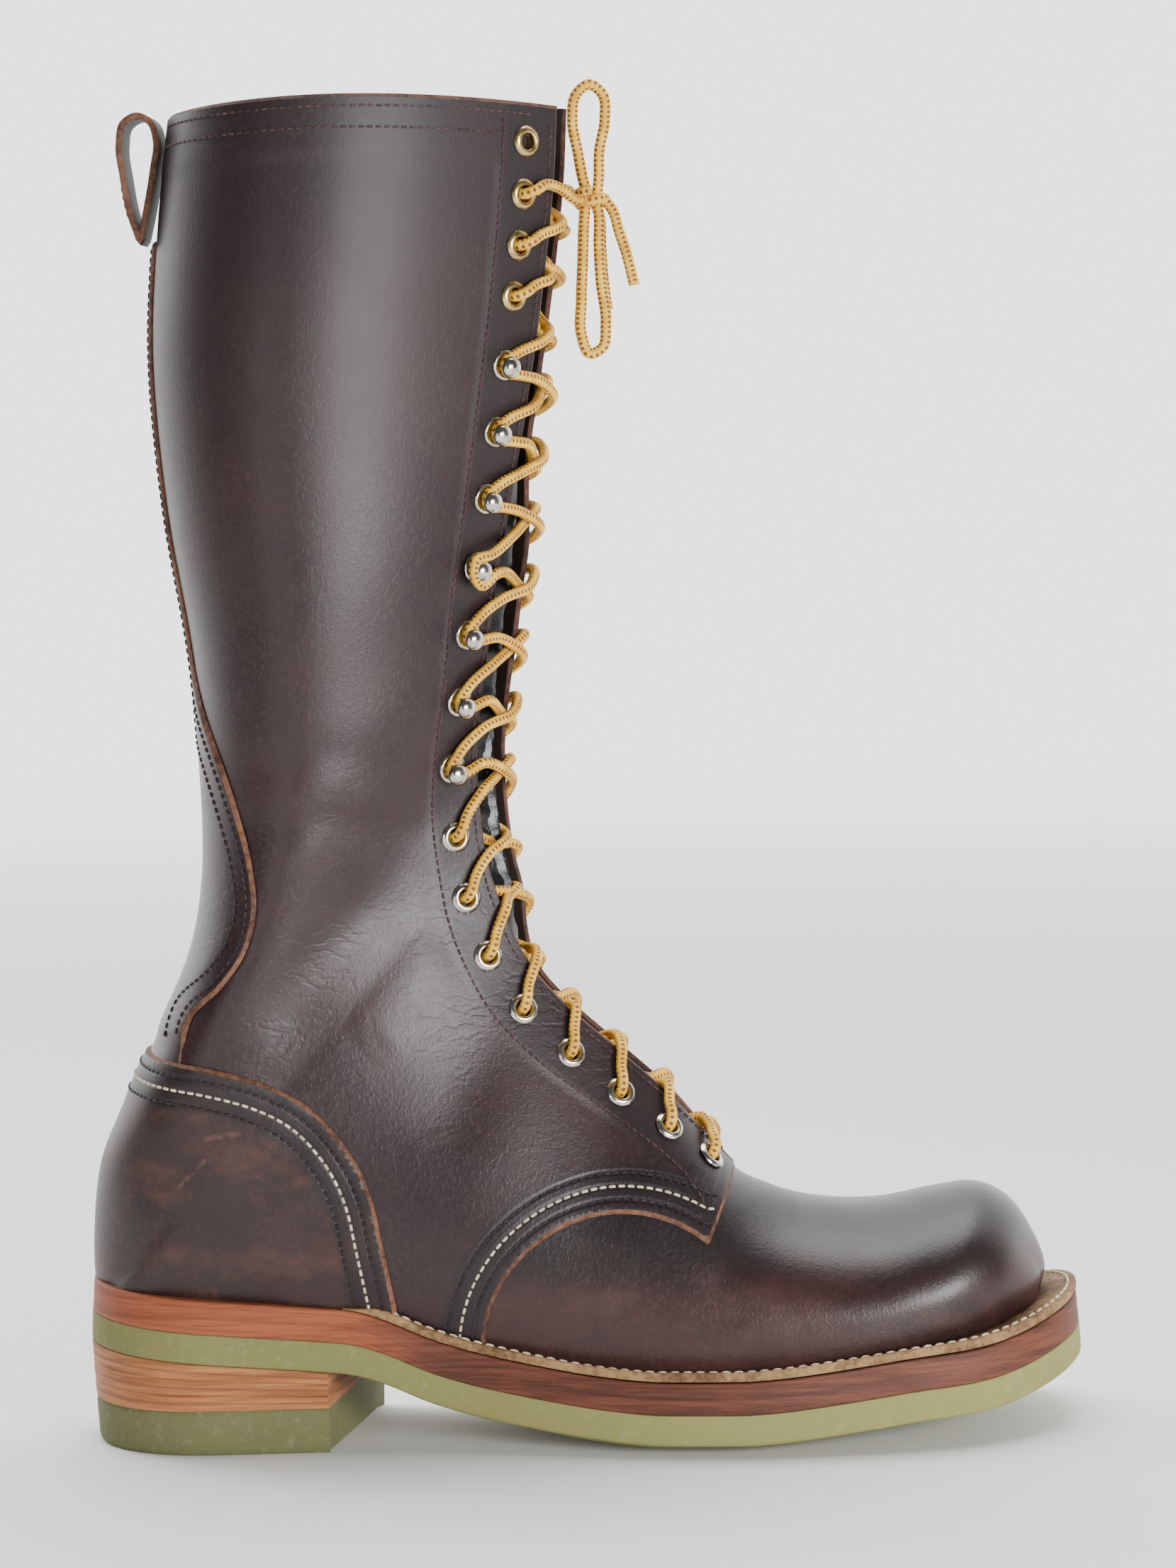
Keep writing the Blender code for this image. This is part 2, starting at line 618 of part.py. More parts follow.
def make_insole():
    insole = sole_slab("insole", LAST_LEVEL, LAST_LEVEL + INSOLE_THICK, "insole_leather", 3.0, 3.0, ease=1.0)
    boolean(insole, upper_form("insole_room", -WALL - 1.3, 1.4, 20.0), "INTERSECT", crossing=True)


def welt_room(s, turn, side):
    """Room between welt and upper, wider where the counter and its foxing lie on the upper."""
    covered = smooth_step(s, 11.2, 11.5) if side < 0 else smooth_step(s, 4.2, 5.2)
    return GAP + (OVERLAY_THICK + GAP) * covered


def make_welt():
    low = LAST_LEVEL
    welt = sole_slab("welt", low, low + WELT_THICK, "welt_leather", 0.8, 1.4, start_x=WELT_START_X)
    boolean(welt, upper_form("welt_opening", welt_room), "DIFFERENCE")


def overlay(name, region, material):
    """A sheet of leather on the upper, cut from between two of its forms by a region."""
    sheet = upper_form(name, GAP + OVERLAY_THICK, material=material, helper=False)
    boolean(sheet, upper_form(name + "_under", GAP), "DIFFERENCE")
    boolean(sheet, region, "INTERSECT")
    return sheet


def make_counter(block):
    outer = [(-60.0, -25.0), (-60.0, COUNTER_EDGE[0][1])] + COUNTER_EDGE + [(COUNTER_EDGE[-1][0], -25.0)]
    inner = [(-60.0, -25.0), (-60.0, FOXING_EDGE[0][1])] + FOXING_EDGE + [(FOXING_EDGE[-1][0], -25.0)]
    region = prism("counter_outer_side", outer, -85.0, 1.0)
    boolean(region, prism("counter_inner_side", inner, -1.0, 85.0), "UNION")
    counter = overlay("counter", region, "brown_leather")
    boolean(counter, block, "DIFFERENCE")


def make_backstay():
    low = BACKSTAY_EDGE[0][1]
    high = BACKSTAY_EDGE[-1][1]
    region = prism("backstay_side", [(-50.0, low)] + BACKSTAY_EDGE + [(-50.0, high)], -60.0, 60.0)
    half = STRIP_HALF_WIDTH
    strip = [(-half, high - 6.0), (half, high - 6.0), (half, STRIP_TOP), (-half, STRIP_TOP)]
    boolean(region, prism("backstay_strip", strip, -50.0, 35.0, across="x"), "UNION")
    overlay("backstay", region, "brown_leather")


def looped(name, rings, material, helper=False):
    """A solid through rings that come back to the first."""
    rings = list(rings) + [rings[0]]
    return solid(name, np.concatenate(rings), ring_faces(len(rings), len(rings[0])), material, helper)


def make_pull_loop():
    path = np.array(LOOP_PATH)
    before = path - np.roll(path, 1, axis=0)
    after = np.roll(path, -1, axis=0) - path
    before = before / np.linalg.norm(before, axis=1, keepdims=True)
    after = after / np.linalg.norm(after, axis=1, keepdims=True)
    out = np.stack([before[:, 1] + after[:, 1], -before[:, 0] - after[:, 0]], axis=1)
    out = out / np.linalg.norm(out, axis=1, keepdims=True)
    reach = np.minimum(1 / np.maximum(np.sqrt((1 + (before * after).sum(1)) / 2), 0.2), 4.0)
    rings = []
    for point, direction, stretch in zip(path, out, reach):
        ring = []
        for away, y in ((1, -1), (1, 1), (-1, 1), (-1, -1)):
            x, z = point + direction * stretch * away * LOOP_THICK / 2
            ring.append((x, y * LOOP_WIDTH / 2, z))
        rings.append(np.array(ring))
    looped("pull_loop", rings, "black_leather")


def make_sole_plate():
    """A steel plate on the inner edge of the ball, with a lip bent over the welt."""
    rings = []
    for x in np.linspace(PLATE_START_X, PLATE_END_X, 6):
        edge = float(plan_middle(x) + plan_half(x)) + 0.4
        low = float(sole_level(x, edge)) + 6.0
        top = float(sole_level(x, edge)) + LAST_LEVEL + WELT_THICK + 0.6
        profile = [(edge, low), (edge, top), (edge - PLATE_LIP, top), (edge - PLATE_LIP, top + PLATE_THICK),
                   (edge + PLATE_THICK, top + PLATE_THICK), (edge + PLATE_THICK, low)]
        rings.append(np.array([(x, y, z) for y, z in profile]))
    lofted("sole_plate", rings, "steel")


# Lacing

def lacing_rows():
    """The section value of each row of the lacing, by lengths along the edge of the throat."""
    s = np.linspace(THROAT_ROW, LAST_ROW, 600)
    edge = surface(s, np.zeros(len(s)), -1)
    length = np.concatenate([[0.0], np.cumsum(np.linalg.norm(np.diff(edge, axis=0), axis=1))])
    pitches = [LOW_PITCH] * (LOW_EYELETS - 1) + [ROW_GAP] + [HOOK_PITCH] * (HOOKS - 1)
    pitches += [ROW_GAP] + [TOP_PITCH] * (TOP_EYELETS - 1)
    return np.interp(FIRST_EYELET + np.concatenate([[0.0], np.cumsum(pitches)]), length, s)


def unit(vector):
    return vector / np.linalg.norm(vector)


def seat(s, side):
    """Place and directions of an eyelet or hook: point, outward, up the throat, away from the throat."""
    turn = np.linspace(0.0, 0.5, 200)
    line = surface(np.full(len(turn), s), turn, side)
    length = np.concatenate([[0.0], np.cumsum(np.linalg.norm(np.diff(line, axis=0), axis=1))])
    here = float(np.interp(EYELET_SETBACK, length, turn))
    point = surface(s, here, side)
    outward = normal(s, here, side)
    away = unit(surface(s, here + 0.02, side) - surface(s, here - 0.02, side))
    return point, outward, unit(np.cross(outward, away) * side), away


def turned(profile, place):
    """Rings of a profile of radius and height turned about the outward direction of a place."""
    point, outward, up, away = place
    rings = []
    for k in range(RING_STEPS):
        angle = 2 * math.pi * k / RING_STEPS
        radial = math.cos(angle) * up + math.sin(angle) * away
        rings.append(np.array([point + radius * radial + height * outward for radius, height in profile]))
    return rings


def is_hook(row):
    return LOW_EYELETS <= row < LOW_EYELETS + HOOKS


def make_fasteners(upper):
    base = EYELET_LIFT + 0.6
    eyelet = [(BORE_RADIUS, EYELET_LIFT + 0.9), (EYELET_RADIUS, base), (EYELET_RADIUS, EYELET_LIFT),
              (BARREL_RADIUS, EYELET_LIFT), (BARREL_RADIUS, 0.5 - WALL), (BORE_RADIUS, 0.5 - WALL)]
    head = base + HOOK_SLOT
    hook = [(0.0, EYELET_LIFT), (EYELET_RADIUS, EYELET_LIFT), (EYELET_RADIUS, base), (1.6, base), (1.6, head),
            (3.7, head), (3.4, head + 1.8), (0.0, head + 3.0)]
    hole = [(0.0, -WALL - 4.0), (BARREL_RADIUS + GAP, -WALL - 4.0), (BARREL_RADIUS + GAP, 4.0), (0.0, 4.0)]
    hole_points = []
    hole_faces = []
    for row, s in enumerate(lacing_rows()):
        for side, word in ((-1, "outer"), (1, "inner")):
            place = seat(s, side)
            if is_hook(row):
                looped(f"hook_{word}_{row + 1:02d}", turned(hook, place), "nickel")
                continue
            looped(f"eyelet_{word}_{row + 1:02d}", turned(eyelet, place), "nickel")
            rings = turned(hole, place)
            rings.append(rings[0])
            first = len(hole_points)
            hole_points += list(np.concatenate(rings))
            hole_faces += [tuple(first + k for k in face) for face in ring_faces(len(rings), len(hole))]
    boolean(upper, solid("eyelet_holes", hole_points, hole_faces, None, helper=True), "DIFFERENCE")


def tube(name, path, radius, material, sides=LACE_SIDES, helper=False):
    """A round cord along a path of points, with flat ends."""
    path = np.array(path)
    heading = np.gradient(path, axis=0)
    heading = heading / np.linalg.norm(heading, axis=1, keepdims=True)
    side = unit(np.cross(heading[0], (0.3, 0.5, 0.8)))
    rings = []
    for point, ahead in zip(path, heading):
        side = unit(side - ahead * side.dot(ahead))
        rise = np.cross(ahead, side)
        angles = 2 * math.pi * (np.arange(sides) + 0.5) / sides
        rings.append(np.array([point + radius * (math.cos(a) * side + math.sin(a) * rise) for a in angles]))
    return lofted(name, rings, material, helper)


def smooth_path(points, count):
    """Points evenly placed on a smooth curve through a few."""
    points = np.array(points)
    length = np.concatenate([[0.0], np.cumsum(np.linalg.norm(np.diff(points, axis=0), axis=1))])
    at = np.linspace(0.0, length[-1], count)
    return np.stack([hermite(length, points[:, k], at) for k in range(3)], axis=1)


def lace_turn(row, s, side):
    """Points of the lace at one eyelet, over its ring, or round the neck of one hook."""
    point, outward, up, away = seat(s, side)
    height = HOOK_SLOT / 2 - 0.1 if is_hook(row) else LACE_RADIUS + 1.2
    level = point + outward * (EYELET_LIFT + 0.9 + height)
    reach = 1.6 + LACE_RADIUS + 0.5
    return [level - up * reach, level + reach * (away - 0.6 * up), level + reach * (away + 0.6 * up),
            level + up * reach]


def lace_path(first_side):
    """One strand of the lace, crossing the throat at every row."""
    rows = lacing_rows()[:LACED_ROWS]
    path = []
    side = first_side
    for row, s in enumerate(rows):
        path += lace_turn(row, s, side)
        if row + 1 < len(rows):
            step = rows[row + 1] - s
            ahead = unit(normal(s, 0.03, side) + normal(s, 0.03, -side)) * 1.2
            near = surface(s + 0.25 * step, 0.0, side) + normal(s + 0.25 * step, 0.03, side) * 4.8 + ahead
            far = surface(s + 0.75 * step, 0.0, -side) + normal(s + 0.75 * step, 0.03, -side) * 4.8 + ahead
            rise = (normal(s, 0.03, side) + normal(s, 0.03, -side)) / 2 * 0.8 * (first_side > 0)
            path += [near, (near + far) / 2 + rise, far]
            side = -side
    path += [lifted(rows[-1] + 0.02, 0.03, side, 4.8)]
    knot = np.array(KNOT_CENTRE)
    path += [knot + np.array((-3.0, side * (KNOT_SIZE[1] + 2.0), -0.5))]
    return path


def make_laces():
    lace = tube("lace_crossings", lace_path(-1), LACE_RADIUS, "lace_cord", CROSSING_SIDES)
    second = tube("lace_second_strand", lace_path(1), LACE_RADIUS, None, CROSSING_SIDES, helper=True)
    boolean(lace, second, "UNION", crossing=True)
    rings = []
    for angle in np.linspace(-math.pi / 2, math.pi / 2, 7):
        around = 2 * math.pi * np.arange(8) / 8
        size_x, size_y, size_z = KNOT_SIZE
        ring = np.stack([size_x * math.cos(angle) * np.cos(around), size_y * math.cos(angle) * np.sin(around),
                         np.full(8, size_z * math.sin(angle))], axis=1)
        rings.append(ring + np.array(KNOT_CENTRE))
    lofted("lace_knot", rings, "lace_cord")
    tube("lace_loop_up", smooth_path(LOOP_UP, 15), LACE_RADIUS, "lace_cord")
    tube("lace_loop_down", smooth_path(LOOP_DOWN, 17), LACE_RADIUS, "lace_cord")
    tube("lace_end_outer", smooth_path(END_OUTER, 5), LACE_RADIUS, "lace_cord")
    tube("lace_end_inner", smooth_path(END_INNER, 5), LACE_RADIUS, "lace_cord")


clear_scene()
make_sole()
BLOCK = sole_block()
UPPER = make_upper(BLOCK)
make_tongue()
make_insole()
make_welt()
make_counter(BLOCK)
make_backstay()
make_pull_loop()
make_sole_plate()
make_fasteners(UPPER)
make_laces()
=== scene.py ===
"""Looks of the logger boot: panels, seams, sole layers, fasteners, lace and the studio around it.

Shapes are worked out in millimetres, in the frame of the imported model: +X to the toe, +Z up and +Y to
the inner side of the foot.
"""

import math

import bmesh
import bpy
import numpy as np
from mathutils import Matrix, Vector


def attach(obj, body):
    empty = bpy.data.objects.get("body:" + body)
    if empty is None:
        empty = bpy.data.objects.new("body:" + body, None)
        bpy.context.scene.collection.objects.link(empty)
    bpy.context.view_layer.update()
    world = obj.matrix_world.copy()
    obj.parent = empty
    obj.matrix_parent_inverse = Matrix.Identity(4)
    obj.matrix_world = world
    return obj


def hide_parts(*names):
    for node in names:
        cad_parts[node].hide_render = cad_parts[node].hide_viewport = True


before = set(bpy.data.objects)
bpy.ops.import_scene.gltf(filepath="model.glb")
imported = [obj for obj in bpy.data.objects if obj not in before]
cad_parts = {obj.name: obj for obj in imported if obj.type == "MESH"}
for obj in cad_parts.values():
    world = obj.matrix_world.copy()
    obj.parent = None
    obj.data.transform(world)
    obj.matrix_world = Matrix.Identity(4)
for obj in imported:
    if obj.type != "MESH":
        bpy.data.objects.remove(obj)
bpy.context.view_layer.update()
MM = 0.001

# Sole
HEEL_END = -36.0
TOE_END = 276.0
OUTSOLE_THICK = 9.4
MIDSOLE_THICK = 10.0
INSOLE_THICK = 3.0
HEEL_CAP_THICK = 14.0
HEEL_LIFTS = 3
LIFTS_THICK = 14.0
BREAST_OUTER_X = 41.0
BREAST_INNER_X = 53.0
BREAST_HOLLOW = 5.0
HEEL_TAPER = 1.5
HEEL_HEIGHT = 28.0
EDGE_CAMBER = 4.0
FLAT_SHARE = 0.55
WELT_THICK = 3.0
SOLE_BURY = 6.0
GAP = 0.3
MIDSOLE_TOP = OUTSOLE_THICK + GAP + MIDSOLE_THICK
LAST_LEVEL = MIDSOLE_TOP + GAP

# Plan of the outsole: x, half width before the ends are rounded, middle line (plus is the inner side)
PLAN = np.array([
    (-36.0, 38.5, 0.0),
    (4.0, 38.0, 0.0),
    (44.0, 36.0, -1.0),
    (80.0, 36.0, -3.0),
    (114.0, 42.0, -4.0),
    (149.0, 50.5, -2.5),
    (179.0, 54.5, 0.0),
    (209.0, 54.0, 3.0),
    (240.0, 52.5, 6.0),
    (276.0, 50.0, 8.0),
])
HEEL_ROUND = 40.0
TOE_ROUND = 58.0
ROUND_POWER = 2.15

# Underside of the outsole along its middle: x, height over the floor
SEAT_BACK_Z = 32.0
SEAT_END_X = 54.0
SOLE_LINE = np.array([
    (SEAT_END_X, 24.2),
    (64.0, 18.9),
    (79.0, 13.2),
    (100.0, 7.0),
    (124.0, 1.6),
    (142.0, 0.0),
    (170.0, 0.0),
    (200.0, 2.6),
    (223.0, 5.6),
    (249.0, 11.0),
    (273.0, 18.6),
    (276.0, 19.8),
])
FLAT_START_X = 142.0
FLAT_END_X = 170.0

# Foot sections, toe to heel: ridge x, ridge z, sole x, half width, half width at the sole,
# share of the height that is widest, roundness of the top, middle of the ridge, half of the throat gap
FOOT = np.array([
    (263.5, 38.5, 261.0, 4.0, 2.0, 0.50, 2.0, 8.0, 0.0),
    (265.0, 47.0, 257.0, 18.0, 12.0, 0.48, 2.1, 8.0, 0.0),
    (261.5, 57.0, 250.0, 29.0, 22.5, 0.45, 2.1, 8.0, 0.0),
    (254.5, 67.5, 240.5, 38.0, 31.0, 0.43, 2.1, 7.5, 0.0),
    (244.0, 72.8, 229.5, 43.5, 36.0, 0.43, 2.0, 7.0, 0.0),
    (230.5, 71.6, 217.0, 46.0, 38.5, 0.43, 2.0, 6.5, 0.0),
    (213.0, 68.6, 203.0, 47.0, 39.5, 0.43, 2.0, 6.0, 0.0),
    (195.0, 69.4, 187.0, 46.5, 39.0, 0.42, 2.0, 5.0, 0.0),
    (179.5, 73.6, 169.0, 45.0, 37.5, 0.40, 2.0, 4.0, 0.0),
    (167.0, 82.5, 149.0, 42.5, 35.0, 0.36, 2.0, 3.0, 0.0),
    (149.0, 104.5, 121.0, 38.5, 31.0, 0.31, 1.95, 2.0, 7.0),
    (131.0, 121.5, 91.0, 36.5, 27.5, 0.30, 1.95, 1.0, 7.5),
    (115.5, 136.0, 58.0, 35.5, 25.5, 0.32, 2.0, 0.0, 8.0),
    (104.5, 150.0, 24.0, 35.0, 26.0, 0.34, 2.0, 0.0, 8.0),
    (97.5, 166.0, -8.0, 35.0, 25.5, 0.36, 2.0, 0.0, 8.0),
    (94.0, 178.0, -24.0, 35.0, 17.5, 0.36, 2.0, 0.0, 8.0),
    (92.5, 187.0, -32.0, 35.0, 0.0, 0.36, 2.0, 0.0, 8.0),
])

# Shaft sections, heel to collar: front x, front z, back x, back z, half width,
# share of the depth that is widest, roundness of the front, half of the throat gap
SHAFT = np.array([
    (91.6, 197.0, -32.4, 66.0, 35.0, 0.36, 2.0, 8.0),
    (91.2, 206.0, -29.6, 87.0, 35.0, 0.36, 2.0, 8.0),
    (91.4, 215.0, -20.5, 109.0, 35.5, 0.36, 2.0, 8.0),
    (92.4, 225.0, -9.5, 132.0, 36.0, 0.37, 2.0, 8.0),
    (94.0, 236.0, 0.5, 155.0, 37.0, 0.37, 2.0, 8.0),
    (96.4, 250.0, 4.8, 179.0, 38.5, 0.38, 2.0, 8.0),
    (99.2, 268.0, 5.0, 209.0, 40.5, 0.38, 2.0, 8.0),
    (103.8, 290.0, 2.8, 246.0, 43.5, 0.38, 2.0, 8.0),
    (110.0, 322.0, -3.6, 292.0, 46.5, 0.38, 2.0, 8.0),
    (115.8, 357.0, -6.4, 338.0, 48.5, 0.38, 2.0, 8.0),
    (119.8, 388.0, -3.4, 380.0, 48.5, 0.38, 2.0, 8.0),
    (121.5, 412.0, 1.0, 412.0, 48.0, 0.38, 2.0, 8.0),
])
COLLAR_ARCH = 3.0
FOOT_ROWS = len(FOOT)
LAST_ROW = len(FOOT) + len(SHAFT) - 1
THROAT_ROW = 9.0
FLAP_BEND = 1.8
FLAP_LEAD = 5.5
FLAP_LEAD_TOP = 2.5
FRONT_SHARE = 0.55

# Upper
WALL = 2.6
VAMP_STEP = 1.2
OVERLAY_TOP = 1.8
TONGUE_THICK = 1.8
TONGUE_SINK = 3.2
TONGUE_WIDTH = 62.0
TONGUE_BELOW_COLLAR = 12.0
VAMP_SEAM_CENTRE = (132.0, 30.0)
VAMP_SEAM_RADIUS = 42.5
VAMP_CORNER = (160.5, 64.5)
THROAT_CORNER = (169.5, 83.5)
COUNTER_EDGE = [(-15.0, 123.0), (9.0, 120.0), (24.0, 115.3), (37.0, 107.9), (46.5, 98.0), (52.6, 88.2),
                (56.6, 77.4), (59.0, 65.4), (62.7, 45.0)]
FOXING_EDGE = [(-15.0, 123.0), (30.0, 108.0), (80.0, 92.0), (130.0, 75.0), (160.0, 64.0), (180.0, 56.0),
               (196.0, 47.0), (207.0, 36.0), (212.0, 24.0)]
BACKSTAY_EDGE = [(-2.0, 118.0), (2.5, 136.0), (12.0, 145.0), (20.0, 156.3), (23.5, 169.0), (22.6, 182.0),
                 (18.5, 199.0), (13.7, 213.5), (8.2, 228.0), (5.0, 238.0), (2.4, 248.0), (0.2, 259.0),
                 (-2.0, 272.0)]
STRIP_HALF_WIDTH = 9.0
STRIP_FOOT = 205.0
STRIP_TOP = 374.0
LOOP_PATH = [(-8.4, 374.0), (-6.0, 384.0), (-3.6, 396.0), (-2.4, 405.0), (-4.2, 410.6), (-8.2, 412.6),
             (-12.4, 410.4), (-13.9, 404.0), (-13.0, 394.0), (-11.2, 383.0)]
LOOP_WIDTH = 20.0
LOOP_THICK = 2.0
PLATE_START_X = 169.0
PLATE_END_X = 199.0

# Lacing
LOW_EYELETS = 8
HOOKS = 7
HOOK_LEAN = 1.7
TOP_EYELETS = 4
FIRST_EYELET = 9.0
LOW_PITCH = 19.0
HOOK_PITCH = 20.0
TOP_PITCH = 15.2
ROW_GAP = 20.7
EYELET_SETBACK = 12.5
LACE_RADIUS = 1.7
LACED_ROWS = LOW_EYELETS + HOOKS + TOP_EYELETS - 1
LOOSE_HOOK = 11
LACE_STEP = 1.1

# Stitches: pitch, length, radius
CREAM_STITCH = (2.9, 2.35, 0.46)
DARK_STITCH = (2.7, 2.2, 0.44)
EYESTAY_STITCH = (2.6, 2.1, 0.36)
COLLAR_STITCH = (2.7, 2.1, 0.36)
BACKSTAY_STITCH = (2.7, 2.1, 0.40)
STRAP_STITCH = (2.6, 2.1, 0.34)
WELT_STITCH = (3.9, 3.0, 0.48)

# Distances of the rows of stitches from the edge that they follow
COUNTER_ROWS = (4.2, 8.2, 12.4)
VAMP_ROWS = (4.0, 7.8, 11.6)
BACKSTAY_ROWS = (2.6, 6.2)
COLLAR_ROWS = (3.6, 10.0)
EYESTAY_FRONT = 3.2
EYESTAY_BACK = 21.5

# Distances kept on leather that has no seam or cut edge near
NO_EDGE = 9.0
NO_SEAM = 60.0

# Bow: middle line of each free stretch of lace, x, y, z
KNOT_CENTRE = (131.0, 0.0, 384.0)
KNOT_FOOT = (131.0, 0.2, 381.8)
KNOT_RADIUS = 3.9
KNOT_RISE = 4.6
KNOT_TURNS = 1.35
KNOT_START = 2.5
LOOP_UP = [(129.6, -0.6, 385.0), (128.4, -1.0, 389.6), (127.0, -2.0, 398.0), (125.6, -3.0, 408.0),
           (127.2, -3.6, 416.0), (131.0, -3.8, 418.6), (135.0, -3.8, 415.6), (135.6, -3.2, 408.0),
           (133.6, -2.4, 398.0), (133.2, -1.2, 389.6), (132.6, -0.6, 385.0)]
LOOP_DOWN = [(129.0, -2.2, 383.0), (128.4, -3.0, 377.4), (127.8, -5.8, 366.0), (127.0, -7.4, 352.0),
             (126.8, -8.0, 342.0), (129.4, -8.0, 336.0), (133.0, -8.0, 337.6), (134.4, -7.4, 345.0),
             (133.2, -5.4, 358.0), (132.8, -3.8, 370.0), (133.0, -2.0, 378.5), (132.4, -1.0, 383.0)]
END_OUTER = [(131.4, -0.4, 385.0), (134.8, -0.6, 383.2), (137.4, -1.0, 379.8), (139.0, -2.0, 374.0),
             (141.4, -3.0, 366.0), (143.4, -4.0, 357.0)]
END_INNER = [(131.4, 1.6, 384.0), (133.0, 4.6, 378.6), (133.2, 7.0, 370.0), (133.6, 9.0, 360.0),
             (134.6, 10.4, 350.0)]


# Camera and light

def make_camera():
    """The photo's place for the camera, aimed at the middle of the boot."""
    data = bpy.data.cameras.new("camera")
    camera = bpy.data.objects.new("camera", data)
    bpy.context.scene.collection.objects.link(camera)
    eye = Vector((0.16342, -1.400, 0.31777))
    target = Vector((0.1258, -0.030, 0.2049))
    ahead = (target - eye).normalized()
    right = ahead.cross(Vector((0.02618, 0.0, 0.99966))).normalized()
    rise = right.cross(ahead)
    turn = Matrix((right, rise, -ahead)).transposed().to_4x4()
    camera.matrix_world = Matrix.Translation(eye) @ turn
    data.sensor_fit = "HORIZONTAL"
    data.sensor_width = 36.0
    data.lens = 137.7
    data.clip_start = 0.05
    bpy.context.scene.camera = camera


def area_light(name, place, target, width, height, power):
    """A white rectangular light at a place, turned to a target."""
    data = bpy.data.lights.new(name, "AREA")
    data.shape = "RECTANGLE"
    data.size = width
    data.size_y = height
    data.energy = power
    light = bpy.data.objects.new(name, data)
    light.location = place
    light.rotation_mode = "QUATERNION"
    light.rotation_quaternion = (Vector(target) - Vector(place)).to_track_quat("-Z", "Y")
    bpy.context.scene.collection.objects.link(light)


def make_studio():
    """A pale world that is brighter behind the boot, four lights and a floor that fades out."""
    world = bpy.data.worlds.new("studio")
    world.use_nodes = True
    tree = world.node_tree
    back = tree.nodes["Background"]
    back.inputs["Color"].default_value = (1.0, 1.0, 1.0, 1.0)
    where = tree.nodes.new("ShaderNodeTexCoord")
    split = tree.nodes.new("ShaderNodeSeparateXYZ")
    spread = tree.nodes.new("ShaderNodeMapRange")
    spread.interpolation_type = "SMOOTHSTEP"
    for key, value in (("From Min", -0.12), ("From Max", 0.60), ("To Min", 0.12), ("To Max", 2.60)):
        spread.inputs[key].default_value = value
    tree.links.new(where.outputs["Generated"], split.inputs[0])
    tree.links.new(split.outputs["Y"], spread.inputs[0])
    tree.links.new(spread.outputs[0], back.inputs["Strength"])
    bpy.context.scene.world = world
    middle = (0.08, 0.0, 0.2)
    area_light("key_light", (1.05, -1.38, 0.36), middle, 0.85, 0.50, 38.0)
    area_light("low_light", (-0.55, -1.30, 0.30), (0.05, 0.0, 0.15), 0.5, 0.4, 2.5)
    area_light("top_light", (0.10, 0.30, 1.5), middle, 1.2, 0.8, 20.0)
    area_light("rim_light", (-0.9, 0.7, 0.9), middle, 0.5, 0.9, 8.0)
    ring = 64
    points = [(0.0, 0.0, 0.0)]
    faces = []
    for radius in (0.5, 1.5, 3.0):
        turns = [2 * math.pi * k / ring for k in range(ring)]
        points += [(radius * math.cos(turn), radius * math.sin(turn), 0.0) for turn in turns]
    for k in range(ring):
        n = (k + 1) % ring
        faces.append((0, 1 + k, 1 + n))
        for band in range(2):
            first = 1 + band * ring
            faces.append((first + k, first + ring + k, first + ring + n, first + n))
    mesh = bpy.data.meshes.new("floor")
    mesh.from_pydata(points, [], faces)
    floor = bpy.data.objects.new("floor", mesh)
    bpy.context.scene.collection.objects.link(floor)
    mesh.materials.append(floor_finish())


# Materials

class Value:
    """A socket, with sums and products written as in Python."""

    def __init__(self, finish, socket):
        self.finish = finish
        self.socket = socket

    def __add__(self, other):
        return self.finish.maths("ADD", self, other)

    def __radd__(self, other):
        return self.finish.maths("ADD", other, self)

    def __sub__(self, other):
        return self.finish.maths("SUBTRACT", self, other)

    def __rsub__(self, other):
        return self.finish.maths("SUBTRACT", other, self)

    def __mul__(self, other):
        return self.finish.maths("MULTIPLY", self, other)

    def __rmul__(self, other):
        return self.finish.maths("MULTIPLY", other, self)

    def __truediv__(self, other):
        return self.finish.maths("DIVIDE", self, other)

    def __pow__(self, other):
        return self.finish.maths("POWER", self, other)


